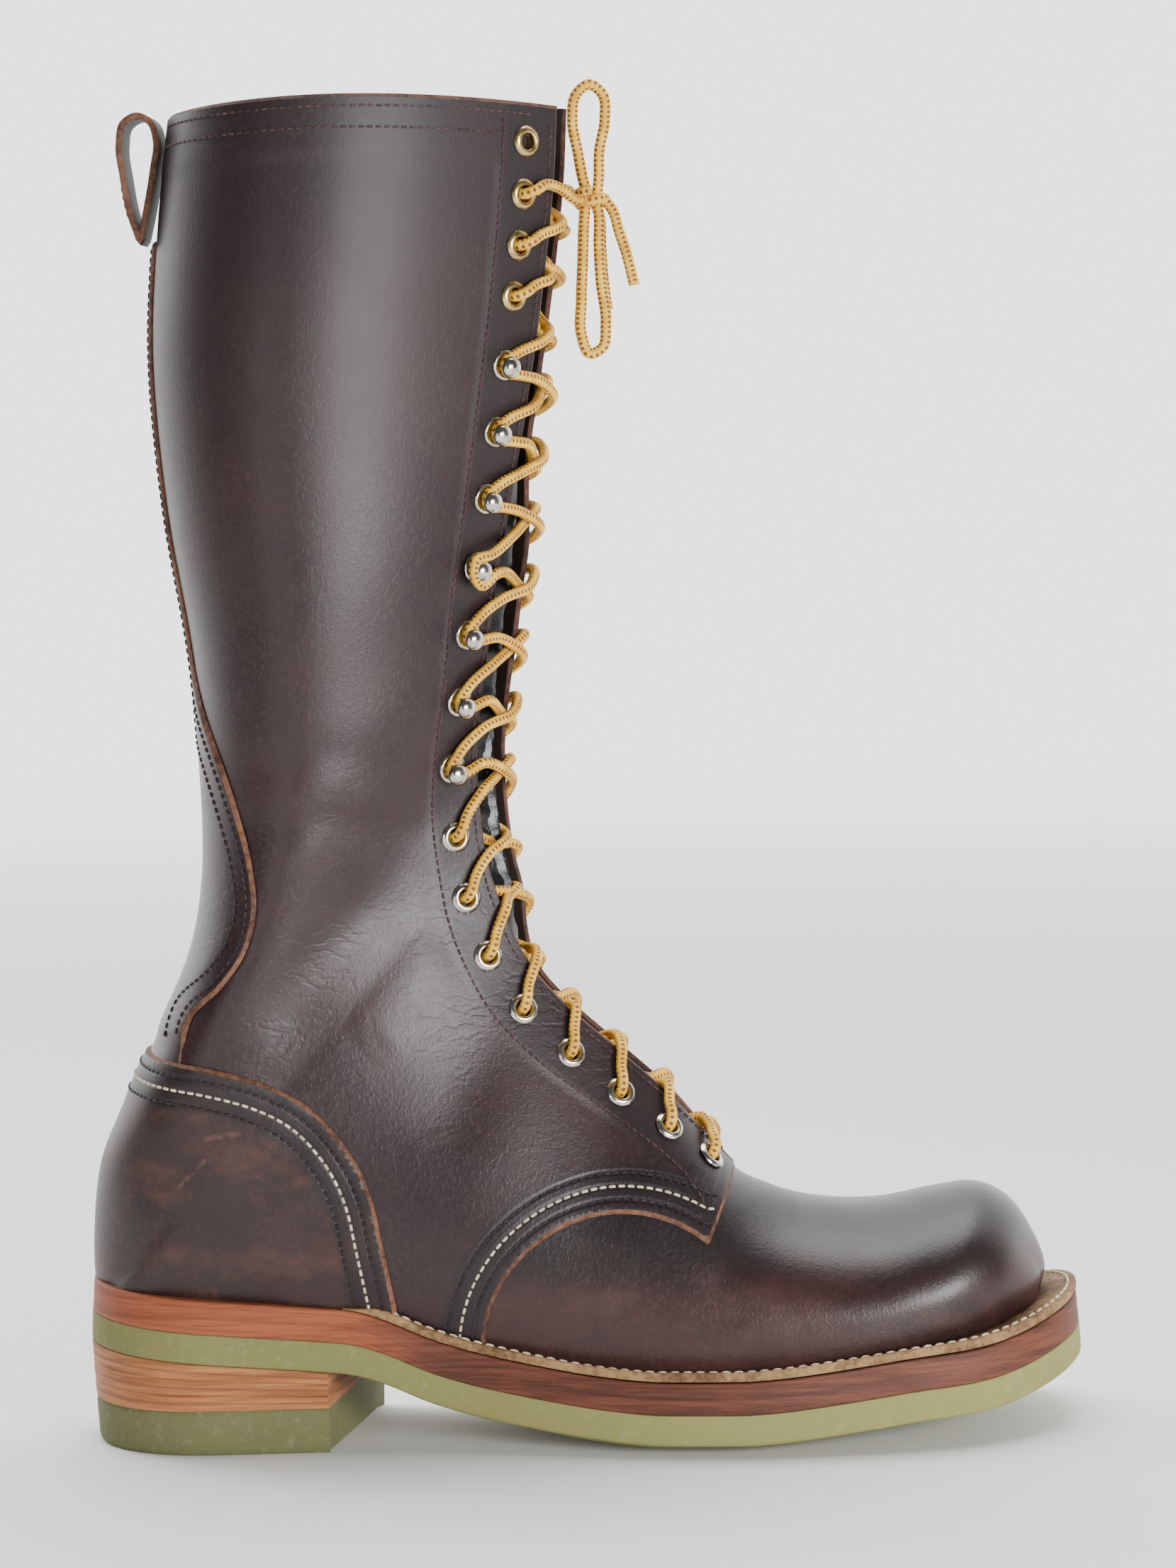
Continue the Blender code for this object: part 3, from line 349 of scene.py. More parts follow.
class Finish:
    """A material and the ways to fill its node tree."""

    def __init__(self, name):
        self.material = bpy.data.materials.new(name)
        self.material.use_nodes = True
        self.tree = self.material.node_tree
        self.shader = self.tree.nodes["Principled BSDF"]

    def feed(self, socket, value):
        if isinstance(value, Value):
            self.tree.links.new(value.socket, socket)
        else:
            socket.default_value = value

    def node(self, kind, settings=None, values=None, output=0):
        made = self.tree.nodes.new(kind)
        for key, value in (settings or {}).items():
            setattr(made, key, value)
        for key, value in (values or {}).items():
            self.feed(made.inputs[key], value)
        return Value(self, made.outputs[output])

    def maths(self, operation, first, second=0.0):
        return self.node("ShaderNodeMath", {"operation": operation}, {0: first, 1: second})

    def place(self, stretch=(1.0, 1.0, 1.0)):
        """Millimetres in the boot's frame, stretched along each axis."""
        where = self.node("ShaderNodeTexCoord", output="Object")
        scale = tuple(1000.0 / part for part in stretch)
        return self.node("ShaderNodeVectorMath", {"operation": "MULTIPLY"}, {0: where, 1: scale})

    def axes(self):
        where = self.place()
        return [self.node("ShaderNodeSeparateXYZ", None, {0: where}, k) for k in range(3)]

    def noise(self, size, detail=3.0, rough=0.5, stretch=(1.0, 1.0, 1.0), where=None):
        where = where or self.place(stretch)
        return self.node("ShaderNodeTexNoise", None,
                         {"Vector": where, "Scale": 1.0 / size, "Detail": detail, "Roughness": rough})

    def cells(self, size, feature="F1", stretch=(1.0, 1.0, 1.0)):
        return self.node("ShaderNodeTexVoronoi", {"feature": feature},
                         {"Vector": self.place(stretch), "Scale": 1.0 / size})

    def ramp(self, value, low, high):
        return self.node("ShaderNodeMapRange", {"interpolation_type": "SMOOTHSTEP"},
                         {0: value, 1: low, 2: high})

    def mix(self, share, first, second):
        first = first if isinstance(first, Value) else (*first, 1.0)
        second = second if isinstance(second, Value) else (*second, 1.0)
        return self.node("ShaderNodeMix", {"data_type": "RGBA"}, {0: share, 6: first, 7: second}, 2)

    def held(self, name):
        """A number kept on the points of a piece."""
        return self.node("ShaderNodeAttribute", {"attribute_name": name}, None, "Fac")

    def stroke(self, start, end, width):
        """A soft line between two places in the side view: 1 on it, 0 away from it."""
        x, _, z = self.axes()
        step_x = end[0] - start[0]
        step_z = end[1] - start[1]
        length = step_x ** 2 + step_z ** 2
        along = ((x - start[0]) * step_x + (z - start[1]) * step_z) / length
        along = self.node("ShaderNodeClamp", None, {0: along, 1: 0.0, 2: 1.0})
        off_x = x - start[0] - along * step_x
        off_z = z - start[1] - along * step_z
        return 1.0 - self.ramp((off_x * off_x + off_z * off_z) ** 0.5, 0.0, width)

    def bump(self, height, depth, strength=1.0):
        values = {"Strength": strength, "Distance": depth * MM, "Height": height}
        return self.node("ShaderNodeBump", None, values)

    def finish(self, colour, roughness, normal=None, metallic=0.0, coat=0.0, specular=0.5):
        if not isinstance(colour, Value):
            colour = (*colour, 1.0)
        self.feed(self.shader.inputs["Base Color"], colour)
        self.feed(self.shader.inputs["Roughness"], roughness)
        self.feed(self.shader.inputs["Metallic"], metallic)
        self.feed(self.shader.inputs["Coat Weight"], coat)
        self.shader.inputs["Coat Roughness"].default_value = 0.3
        self.shader.inputs["Specular IOR Level"].default_value = specular
        if normal is not None:
            self.feed(self.shader.inputs["Normal"], normal)
        return self.material


def floor_finish():
    made = Finish("floor_paper")
    x, y, _ = made.axes()
    reach = (x * x + y * y) ** 0.5
    speck = made.noise(6.0, 2.0)
    made.feed(made.shader.inputs["Alpha"], 1.0 - made.ramp(reach, 500.0, 2600.0))
    return made.finish(made.mix(speck, (0.84, 0.84, 0.835), (0.88, 0.88, 0.875)), 0.7, specular=0.2)


# Tones on the leather
SCRATCH = (0.14, 0.066, 0.046)
# painted shade: near black laid on the top of the toe
TOE_TOP_PAINTED_SHADE = (0.0045, 0.0036, 0.0042)
SEAM_BLACK = (0.0055, 0.0036, 0.0042)
EYESTAY_DARK = (0.0085, 0.0046, 0.0052)
# painted shade: dark tint laid on the top of the shaft
SHAFT_TOP_PAINTED_SHADE = (0.0065, 0.0048, 0.0058)


def leather_finish(name, dark, light, wear_and_glint, scuff=0.0, gloss=0.40, toe=False, wrinkle=0.0, scratches=()):
    """Oiled leather: soft blotches, worn specks, pores and fine creases, darker along its seams, with painted
    light as well: painted glints as light grain specks, and painted shade on the top of the shaft and, for
    the toe, on its top.
    """
    made = Finish(name)
    x, y, z = made.axes()
    outer = 1.0 - made.ramp(y, -8.0, 14.0)
    cloud = made.noise(60.0, 2.0, 0.5)
    patch = made.noise(11.0, 4.0, 0.6)
    pore = made.cells(0.8)
    fine = made.noise(0.7, 2.0, 0.6)
    edge = made.held("edge")
    stay = made.held("stay")
    seam = made.held("seam")
    share = made.ramp(cloud * 0.7 + patch * 0.3, 0.25, 0.80)
    colour = made.mix(share, dark, light)
    speck = made.ramp(made.noise(1.5, 3.0, 0.7), 0.60, 0.74) * made.ramp(made.noise(30.0, 2.0), 0.46, 0.66)
    colour = made.mix(speck * 0.30, colour, wear_and_glint)
    # painted glints: light grain specks in the colour, patchy over the leather, stand in for highlights off
    # the grain; the same grain also gives a real bump below
    grain = made.ramp(made.noise(1.25, 3.0, 0.65, (1.0, 1.0, 1.6)), 0.46, 0.70)
    glint_patches = made.ramp(made.noise(34.0, 2.0, 0.5), 0.40, 0.62) * 0.55 + 0.30
    colour = made.mix(grain * glint_patches * 0.20, colour, wear_and_glint)
    rub = made.ramp(made.noise(16.0, 6.0, 0.68, (1.5, 1.0, 0.9)), 0.44, 0.74) * scuff
    rub = rub * (outer * 0.75 + 0.25)
    colour = made.mix(rub, colour, wear_and_glint)
    for start, end, width in scratches:
        broken = made.ramp(made.noise(2.2, 3.0, 0.6), 0.32, 0.60)
        colour = made.mix(made.stroke(start, end, width) * broken * outer * 0.42, colour, SCRATCH)
    # painted shade: the top of the toe darkens toward near black by height, standing in for the shade that
    # falls there
    if toe:
        top = made.ramp(z + made.noise(18.0, 2.0) * 10.0 - (x - 200.0) * 0.03, 50.0, 68.0)
        colour = made.mix(top * 0.8, colour, TOE_TOP_PAINTED_SHADE)
    band = made.ramp(seam, 0.8, 2.4) * (1.0 - made.ramp(seam, 12.6, 15.5))
    colour = made.mix(band * 0.70, colour, SEAM_BLACK)
    colour = made.mix((1.0 - made.ramp(edge, 0.8, 4.0)) * 0.45, colour, dark)
    colour = made.mix(stay * 0.60, colour, EYESTAY_DARK)
    # painted shade: the shaft darkens from 250 mm up toward the collar
    colour = made.mix(made.ramp(z, 250.0, 400.0) * 0.45, colour, SHAFT_TOP_PAINTED_SHADE)
    rough = gloss + patch * 0.10 - 0.05 + speck * 0.12 + rub * 0.12 + stay * 0.04
    rough = rough + made.ramp(z, 250.0, 390.0) * 0.16
    height = pore * 0.20 + fine * 0.16 + patch * 0.25 + grain * 0.26
    if wrinkle:
        crease = made.maths("ABSOLUTE", made.noise(7.5, 2.5, 0.5, (1.4, 1.4, 0.6)) - 0.5)
        ankle = made.ramp(z, 75.0, 120.0) * (1.0 - made.ramp(z, 180.0, 240.0)) + 0.10
        worked = ankle * made.ramp(made.noise(24.0, 2.0, 0.5), 0.42, 0.62)
        height = height + made.ramp(crease, 0.0, 0.09) * worked * wrinkle
    for middle in (4.1, 8.0, 12.0):
        groove = made.maths("ABSOLUTE", seam - middle)
        height = height - (1.0 - made.ramp(groove, 0.2, 1.3)) * 1.2
    return made.finish(colour, rough, made.bump(height, 0.16, 0.75), coat=0.10, specular=0.40)


def edge_finish(name, dark, light):
    """Raw cut leather edge."""
    made = Finish(name)
    streak = made.noise(2.2, 4.0, 0.65)
    fibre = made.noise(0.5, 2.0, 0.7)
    broad = made.noise(17.0, 2.0)
    colour = made.mix(made.ramp(streak * 0.6 + broad * 0.5, 0.38, 0.72), dark, light)
    return made.finish(colour, 0.72, made.bump(fibre + streak, 0.2, 0.8), specular=0.25)


def thread_finish(name, dark, light):
    made = Finish(name)
    twist = made.noise(0.45, 2.0, 0.6)
    tone = made.noise(6.0, 2.0)
    colour = made.mix(made.ramp(twist * 0.5 + tone * 0.6, 0.35, 0.75), dark, light)
    return made.finish(colour, 0.6, made.bump(twist, 0.12, 0.7), specular=0.3)


def stack_finish(name, back_dark, back_light, front_dark, front_light, dark_line):
    """Stacked leather edges: streaks along the sole, lighter at the heel, darker at the waist and ball."""
    made = Finish(name)
    x, _, _ = made.axes()
    level = made.held("level")
    streak = made.noise(1.4, 5.0, 0.7, (16.0, 16.0, 1.0))
    layer = made.noise(3.2, 3.0, 0.6, (22.0, 22.0, 0.8))
    grain = made.noise(0.6, 2.0, 0.7, (4.0, 4.0, 1.0))
    front = made.ramp(x + made.noise(20.0, 3.0) * 40.0 - 20.0, 48.0, 74.0)
    share = made.ramp(streak * 0.6 + layer * 0.55, 0.36, 0.76)
    back = made.mix(share, back_dark, back_light)
    ahead = made.mix(share, front_dark, front_light)
    colour = made.mix(front, back, ahead)
    line = made.maths("ABSOLUTE", level - made.maths("FLOOR", level) - 0.5)
    line = 1.0 - made.ramp(line + (streak - 0.5) * 0.12, 0.02, 0.11)
    colour = made.mix(line * dark_line, colour, front_dark)
    height = streak * 0.6 + grain * 0.4 - line * dark_line * 0.8
    return made.finish(colour, 0.5 + grain * 0.2, made.bump(height, 0.3, 0.7), specular=0.35)


def rubber_finish(name, dark, light):
    made = Finish(name)
    cloud = made.noise(26.0, 4.0, 0.6)
    chalk = made.ramp(made.noise(3.0, 5.0, 0.7), 0.50, 0.72)
    fine = made.noise(0.8, 3.0, 0.7)
    x, _, _ = made.axes()
    ahead = made.ramp(x, 20.0, 150.0)
    colour = made.mix(cloud * 0.35 + ahead * 0.55, dark, light)
    colour = made.mix(chalk * 0.14, colour, (0.50, 0.47, 0.27))
    return made.finish(colour, 0.72 + fine * 0.12, made.bump(fine + chalk * 0.5, 0.18, 0.7), specular=0.3)


def metal_finish(name, dark, light, gloss):
    made = Finish(name)
    tone = made.noise(2.4, 3.0, 0.6)
    fine = made.noise(0.35, 2.0, 0.6)
    colour = made.mix(made.ramp(tone, 0.3, 0.7), dark, light)
    return made.finish(colour, gloss + tone * 0.12, made.bump(fine, 0.03, 0.5), metallic=1.0)


def plate_finish():
    made = Finish("plate_steel")
    brushed = made.noise(0.5, 3.0, 0.7, (14.0, 1.0, 1.0))
    tone = made.noise(7.0, 3.0)
    colour = made.mix(tone, (0.50, 0.50, 0.49), (0.72, 0.72, 0.71))
    return made.finish(colour, 0.24 + brushed * 0.2, made.bump(brushed, 0.04, 0.6), metallic=1.0)


def lace_finish():
    """Round braided lace: golden, with brown flecks where the braid crosses."""
    made = Finish("golden_lace")
    where = made.node("ShaderNodeUVMap")
    along = made.node("ShaderNodeSeparateXYZ", None, {0: where}, 0)
    around = made.node("ShaderNodeSeparateXYZ", None, {0: where}, 1)
    turn = 2 * math.pi
    first = made.maths("SINE", along * (turn / 3.0) + around * (turn * 2))
    second = made.maths("SINE", along * (turn / 3.0) - around * (turn * 2))
    weave = first * second
    tone = made.noise(5.0, 3.0)
    fibre = made.noise(0.4, 2.0, 0.7)
    colour = made.mix(made.ramp(tone + fibre * 0.4, 0.45, 0.95), (0.64, 0.31, 0.026), (0.94, 0.55, 0.066))
    fleck = made.ramp(weave + (fibre - 0.5) * 0.6, 0.30, 0.60)
    colour = made.mix(fleck * 0.92, colour, (0.115, 0.034, 0.008))
    height = weave * -0.5 + fibre * 0.4
    return made.finish(colour, 0.55 + fibre * 0.15, made.bump(height, 0.25, 0.8), specular=0.35)


HEEL_MARKS = [((-3.0, 84.0), (5.0, 92.0), 1.1), ((6.0, 99.0), (16.0, 100.5), 1.6)]
BROWN = leather_finish("brown_leather", (0.0120, 0.0044, 0.0058), (0.0330, 0.0115, 0.0125),
                       (0.10, 0.050, 0.046), wrinkle=0.40)
HEEL_BROWN = leather_finish("heel_leather", (0.0125, 0.0052, 0.0056), (0.0350, 0.0132, 0.0112),
                            (0.110, 0.038, 0.022), scuff=0.55, gloss=0.46, scratches=HEEL_MARKS)
# the vamp's leather takes painted shade on the top of the toe
VAMP_BROWN = leather_finish("vamp_leather", (0.0150, 0.0058, 0.0062), (0.0460, 0.0165, 0.0140),
                            (0.100, 0.036, 0.024), scuff=0.35, gloss=0.38, toe=True)
BLACK = leather_finish("black_leather", (0.0030, 0.0028, 0.0030), (0.0070, 0.0064, 0.0066),
                       (0.03, 0.027, 0.026), gloss=0.26)
LINING = leather_finish("lining_leather", (0.040, 0.022, 0.015), (0.080, 0.046, 0.030),
                        (0.12, 0.08, 0.055), gloss=0.62)
RAW_EDGE = edge_finish("raw_edge", (0.050, 0.020, 0.012), (0.215, 0.100, 0.058))
DARK_EDGE = edge_finish("dark_edge", (0.022, 0.0095, 0.0078), (0.120, 0.052, 0.034))
STRAP = leather_finish("strap_leather", (0.0040, 0.0034, 0.0036), (0.0100, 0.0085, 0.0086),
                       (0.04, 0.033, 0.030), gloss=0.58)
WELT_TAN = edge_finish("welt_leather", (0.105, 0.052, 0.022), (0.340, 0.205, 0.095))
CREAM = thread_finish("cream_thread", (0.42, 0.34, 0.21), (0.80, 0.72, 0.54))
DARK_THREAD = thread_finish("dark_thread", (0.006, 0.004, 0.005), (0.040, 0.026, 0.030))
RED_THREAD = thread_finish("red_thread", (0.024, 0.009, 0.011), (0.095, 0.042, 0.045))
MIDSOLE_STACK = stack_finish("midsole_leather", (0.160, 0.036, 0.012), (0.330, 0.092, 0.034),
                             (0.048, 0.013, 0.0065), (0.165, 0.048, 0.025), 0.25)
LIFT_STACK = stack_finish("lift_leather", (0.220, 0.066, 0.020), (0.470, 0.200, 0.072),
                          (0.200, 0.060, 0.018), (0.450, 0.185, 0.066), 0.6)
OLIVE = rubber_finish("olive_rubber", (0.165, 0.160, 0.054), (0.275, 0.262, 0.092))
HEEL_OLIVE = rubber_finish("heel_rubber", (0.115, 0.122, 0.050), (0.185, 0.190, 0.082))
NICKEL = metal_finish("worn_nickel", (0.40, 0.37, 0.31), (0.68, 0.65, 0.58), 0.13)
BRASS = metal_finish("worn_brass", (0.42, 0.30, 0.105), (0.68, 0.53, 0.24), 0.20)
STEEL = plate_finish()
LACE = lace_finish()
INSOLE_TAN = leather_finish("insole_leather", (0.14, 0.078, 0.040), (0.25, 0.150, 0.082),
                            (0.32, 0.21, 0.13), gloss=0.6)


# Forms

def hermite(stations, values, at):
    """A smooth curve through values at uneven stations, carried on straight past its ends."""
    stations = np.asarray(stations, float)
    values = np.asarray(values, float)
    slopes = np.gradient(values, stations)
    at = np.asarray(at, float)
    place = np.clip(np.searchsorted(stations, at) - 1, 0, len(stations) - 2)
    step = stations[place + 1] - stations[place]
    u = np.clip((at - stations[place]) / step, 0.0, 1.0)
    start = values[place] * (1 + 2 * u) * (1 - u) ** 2 + slopes[place] * step * u * (1 - u) ** 2
    end = values[place + 1] * u * u * (3 - 2 * u) + slopes[place + 1] * step * u * u * (u - 1)
    past = np.maximum(at - stations[-1], 0.0) * slopes[-1] + np.minimum(at - stations[0], 0.0) * slopes[0]
    return start + end + past


def smooth_step(value, low, high):
    share = np.clip((value - low) / (high - low), 0.0, 1.0)
    return share * share * (3 - 2 * share)


def smooth_line(points, count):
    """Points evenly placed on a round curve through a few."""
    points = np.array(points, float)
    steps = np.linalg.norm(np.diff(points, axis=0), axis=1)
    length = np.concatenate([[0.0], np.cumsum(steps)])
    slopes = np.diff(points, axis=0) / steps[:, None]
    before = steps[:-1, None]
    after = steps[1:, None]
    inner = (slopes[:-1] * after + slopes[1:] * before) / (before + after)
    heading = np.concatenate([slopes[:1], inner, slopes[-1:]])
    at = np.linspace(0.0, length[-1], count)
    k = np.clip(np.searchsorted(length, at, side="right") - 1, 0, len(steps) - 1)
    span = steps[k][:, None]
    u = (at - length[k])[:, None] / span
    first = (1 + 2 * u) * (1 - u) ** 2 * points[k] + u * (1 - u) ** 2 * span * heading[k]
    return first + u * u * (3 - 2 * u) * points[k + 1] + u * u * (u - 1) * span * heading[k + 1]


def unit(vector):
    return vector / np.maximum(np.linalg.norm(vector, axis=-1, keepdims=True), 1e-9)


def lengths(line):
    """Length along a line up to each of its points."""
    return np.concatenate([[0.0], np.cumsum(np.linalg.norm(np.diff(line, axis=0), axis=1))])


def placed(at, reach, line):
    """Places at given lengths along a line of points."""
    return np.stack([np.interp(at, reach, column) for column in line.T], axis=-1)


def plan_middle(x):
    return hermite(PLAN[:, 0], PLAN[:, 2], x)


def plan_width(x):
    return hermite(PLAN[:, 0], PLAN[:, 1], np.clip(x, HEEL_END, TOE_END))


def plan_half(x, inset=0.0):
    """Half width of the sole at x, with round ends, all taken in by inset."""
    x = np.asarray(x, float)
    half = plan_width(x) - inset
    for share in ((x - HEEL_END - inset) / HEEL_ROUND, (TOE_END - inset - x) / TOE_ROUND):
        half = half * (1 - (1 - np.clip(share, 0.0, 1.0)) ** ROUND_POWER) ** (1 / ROUND_POWER)
    return half


def sole_line(x):
    """Height of the outsole's underside along its middle, eased where the heel seat ends."""
    x = np.asarray(x, float)
    share = smooth_step(x, 34.0, 46.0) * (1 - smooth_step(x, 64.0, 78.0))
    eased = sum(plain_line(x + step) for step in (-9.0, -6.0, -3.0, 0.0, 3.0, 6.0, 9.0)) / 7
    return plain_line(x) + (eased - plain_line(x)) * share


def plain_line(x):
    """Height of the outsole's underside along its middle, flat where the forefoot stands."""
    x = np.clip(np.asarray(x, float), HEEL_END, TOE_END)
    height = np.maximum(hermite(SOLE_LINE[:, 0], SOLE_LINE[:, 1], np.maximum(x, SEAT_END_X)), 0.0)
    height = np.where((x >= FLAT_START_X) & (x <= FLAT_END_X), 0.0, height)
    seat = SEAT_BACK_Z + (SOLE_LINE[0, 1] - SEAT_BACK_Z) * (x - HEEL_END) / (SEAT_END_X - HEEL_END)
    return np.where(x < SEAT_END_X, seat, height)


def sole_level(x, y):
    """Height of the outsole's underside, with the forefoot's edges rising past its flat middle."""
    x = np.asarray(x, float)
    fade = smooth_step(x, 70.0, 130.0) * (1 - smooth_step(x, 215.0, 262.0))
    share = np.clip(np.abs(y - plan_middle(x)) / plan_width(x), 0.0, 1.0)
    past_flat = np.maximum(share - FLAT_SHARE, 0.0) / (1 - FLAT_SHARE)
    return sole_line(x) + EDGE_CAMBER * fade * past_flat ** 2


def section_rows():
    """Foot and shaft sections in one table: front x, front z, back x, back z, half width,
    half width at the back, widest share, roundness of the front, middle at the back and front, gap."""
    rows = []
    for front_x, front_z, sole_x, half, low, widest, power, ridge, gap in FOOT:
        back_z = float(sole_line(sole_x)) + MIDSOLE_TOP - SOLE_BURY
        middle = float(plan_middle(sole_x))
        rows.append((front_x, front_z, sole_x, back_z, half, low, widest, power, middle, ridge, gap))
    for front_x, front_z, back_x, back_z, half, widest, power, gap in SHAFT:
        rows.append((front_x, front_z, back_x, back_z, half, 0.0, widest, power, 0.0, 0.0, gap))
    return np.array(rows)


SECTIONS = section_rows()


def flap_lead(s):
    """How far the inner edge of the throat stands ahead of the outer one."""
    low = smooth_step(s, 12.3, 14.6)
    return low * (FLAP_LEAD_TOP + FLAP_LEAD * (1 - smooth_step(s, 23.2, 24.8)))


def surface(s, turn, side):
    """A point of the upper's outer form: s counts sections, turn runs from front (0) to back (1)."""
    s = np.asarray(s, float)
    turn = np.asarray(turn, float)
    index = np.arange(len(SECTIONS))
    column = [hermite(index, SECTIONS[:, k], s) for k in range(SECTIONS.shape[1])]
    front_x, front_z, back_x, back_z, half, low, widest, power, low_middle, ridge, gap = column
    low = np.where(s >= FOOT_ROWS - 1, 0.0, np.maximum(low, 0.0))
    gap = np.where(s <= THROAT_ROW, 0.0, np.maximum(gap, 0.0))
    front_x = front_x + flap_lead(s) * (np.asarray(side) > 0)
    depth = np.hypot(front_x - back_x, front_z - back_z)
    across = widest * depth
    front_angle = np.clip(turn / FRONT_SHARE, 0.0, 1.0) * math.pi / 2
    back_angle = np.clip((turn - FRONT_SHARE) / (1 - FRONT_SHARE), 0.0, 1.0) * math.pi / 2
    in_front = turn < FRONT_SHARE
    front_reach = across + (depth - across) * np.abs(np.cos(front_angle)) ** (2 / power)
    front_width = gap + (half - gap) * np.abs(np.sin(front_angle)) ** (2 / power)
    flat = smooth_step(s, THROAT_ROW, THROAT_ROW + 1.8)
    from_edge = np.clip(turn / FRONT_SHARE, 0.0, 1.0)
    flap_reach = across + (depth - across) * (1 - from_edge)
    flap_width = gap + (half - gap) * (1 - (1 - from_edge) ** FLAP_BEND)
    front_reach = front_reach + (flap_reach - front_reach) * flat
    front_width = front_width + (flap_width - front_width) * flat
    back_reach = across * (1 - np.sin(back_angle))
    back_width = low + (half - low) * np.cos(back_angle)
    reach = np.where(in_front, front_reach, back_reach)
    width = np.where(in_front, front_width, back_width)
    share = reach / depth
    arch = COLLAR_ARCH * np.clip(s - LAST_ROW + 1, 0.0, 1.0) * 4 * share * (1 - share)
    x = back_x + (front_x - back_x) * share
    y = low_middle + (ridge - low_middle) * share + side * width
    z = back_z + (front_z - back_z) * share + arch
    return np.stack(np.broadcast_arrays(x, y, z), axis=-1)


def normal(s, turn, side):
    """The outward direction of the form."""
    e = 0.004
    s, turn, side = np.broadcast_arrays(*(np.asarray(part, float) for part in (s, turn, side)))
    along = surface(s + e, turn, side) - surface(np.maximum(s - e, 0.0), turn, side)
    down = surface(s, np.minimum(turn + e, 1.0), side) - surface(s, np.maximum(turn - e, 0.0), side)
    out = -side[..., None] * np.cross(along, down)
    on_middle = (turn < 1e-6) & (s <= THROAT_ROW) | (turn > 1 - 1e-6) & (s >= FOOT_ROWS - 1)
    out[..., 1] = np.where(on_middle, 0.0, out[..., 1])
    return unit(out)


def lifted(s, turn, side, offset):
    return surface(s, turn, side) + normal(s, turn, side) * np.asarray(offset, float)[..., None]


def around(v):
    """Turn and side of a place round a section: 0 is the front, -1 the back by the outer side and 1 the
    back by the inner side."""
    v = np.asarray(v, float)
    past = np.abs(v) > 1
    turn = np.where(past, 2 - np.abs(v), np.abs(v))
    side = np.where(past, -np.sign(v), np.where(v > 0, 1.0, -1.0))
    return turn, side


def skin(s, v, offset=0.0):
    turn, side = around(v)
    return lifted(s, turn, side, np.broadcast_to(np.asarray(offset, float), np.shape(s)))


def even_lines(low, high, step, lines):
    """Values from low to high whose places lie at most about one step apart on every given line."""
    fine = np.linspace(low, high, 900)
    reach = np.max([np.linalg.norm(np.diff(line(fine), axis=0), axis=1) for line in lines], axis=0)
    length = np.concatenate([[0.0], np.cumsum(reach)])
    count = int(length[-1] / step) + 2
    return np.interp(np.linspace(0.0, length[-1], count), length, fine)


def row_lines(low, high, step):
    lines = [lambda s, t=t: surface(s, np.full(len(s), t), -1.0) for t in (0.02, 0.3, 0.55, 0.8, 0.98)]
    return even_lines(low, high, step, lines)


def turn_lines(low, high, step):
    lines = [lambda t, s=s: surface(np.full(len(t), s), t, -1.0) for s in (4.0, 12.0, 17.0, 22.0, 26.0)]
    return even_lines(low, high, step, lines)


TABLE_ROWS = np.linspace(0.0, LAST_ROW, 420)
TABLE_TURNS = np.linspace(0.0, 1.0, 240) ** 1.2
TABLE = surface(TABLE_ROWS[:, None], TABLE_TURNS[None, :], -1.0)
FROM_FLAP = np.concatenate([np.zeros((len(TABLE_ROWS), 1)),
                            np.cumsum(np.linalg.norm(np.diff(TABLE, axis=1), axis=2), axis=1)], axis=1)
FROM_TOE = np.concatenate([np.zeros((1, len(TABLE_TURNS))),
                           np.cumsum(np.linalg.norm(np.diff(TABLE, axis=0), axis=2), axis=0)], axis=0)
FROM_COLLAR = FROM_TOE[-1] - FROM_TOE


def read_table(table, s, turn):
    i = np.clip(np.searchsorted(TABLE_ROWS, s) - 1, 0, len(TABLE_ROWS) - 2)
    j = np.clip(np.searchsorted(TABLE_TURNS, turn) - 1, 0, len(TABLE_TURNS) - 2)
    a = (s - TABLE_ROWS[i]) / (TABLE_ROWS[i + 1] - TABLE_ROWS[i])
    b = (turn - TABLE_TURNS[j]) / (TABLE_TURNS[j + 1] - TABLE_TURNS[j])
    low = table[i, j] * (1 - b) + table[i, j + 1] * b
    high = table[i + 1, j] * (1 - b) + table[i + 1, j + 1] * b
    return low * (1 - a) + high * a


def from_flap(s, v):
    """Length along the section from the edge of the throat."""
    return read_table(FROM_FLAP, s, around(v)[0])


def from_collar(s, v):
    """Length down the form from the collar."""
    return read_table(FROM_COLLAR, s, around(v)[0])


def flap_turn(s, length):
    """The turn at a length from the edge of the throat, for each s."""
    turn = np.linspace(0.0, 0.7, 260)
    found = []
    for row in np.atleast_1d(s):
        line = read_table(FROM_FLAP, np.full(len(turn), row), turn)
        found.append(np.interp(length, line, turn))
    return np.array(found)


def inside(points, outline):
    """Distance of side-view points to an outline, plus inside it and minus outside."""
    outline = np.asarray(outline, float)
    x = points[..., 0]
    z = points[..., -1]
    best = np.full(x.shape, 1e9)
    crossings = np.zeros(x.shape, int)
    for (x0, z0), (x1, z1) in zip(outline, np.roll(outline, -1, axis=0)):
        step_x = x1 - x0
        step_z = z1 - z0
        square = max(step_x ** 2 + step_z ** 2, 1e-9)
        along = np.clip(((x - x0) * step_x + (z - z0) * step_z) / square, 0.0, 1.0)
        best = np.minimum(best, np.hypot(x - x0 - along * step_x, z - z0 - along * step_z))
        if step_z:
            passes = (z0 <= z) != (z1 <= z)
            crossings += passes & (x < x0 + (z - z0) / step_z * step_x)
    return np.where(crossings % 2 == 1, best, -best)


# Meshes

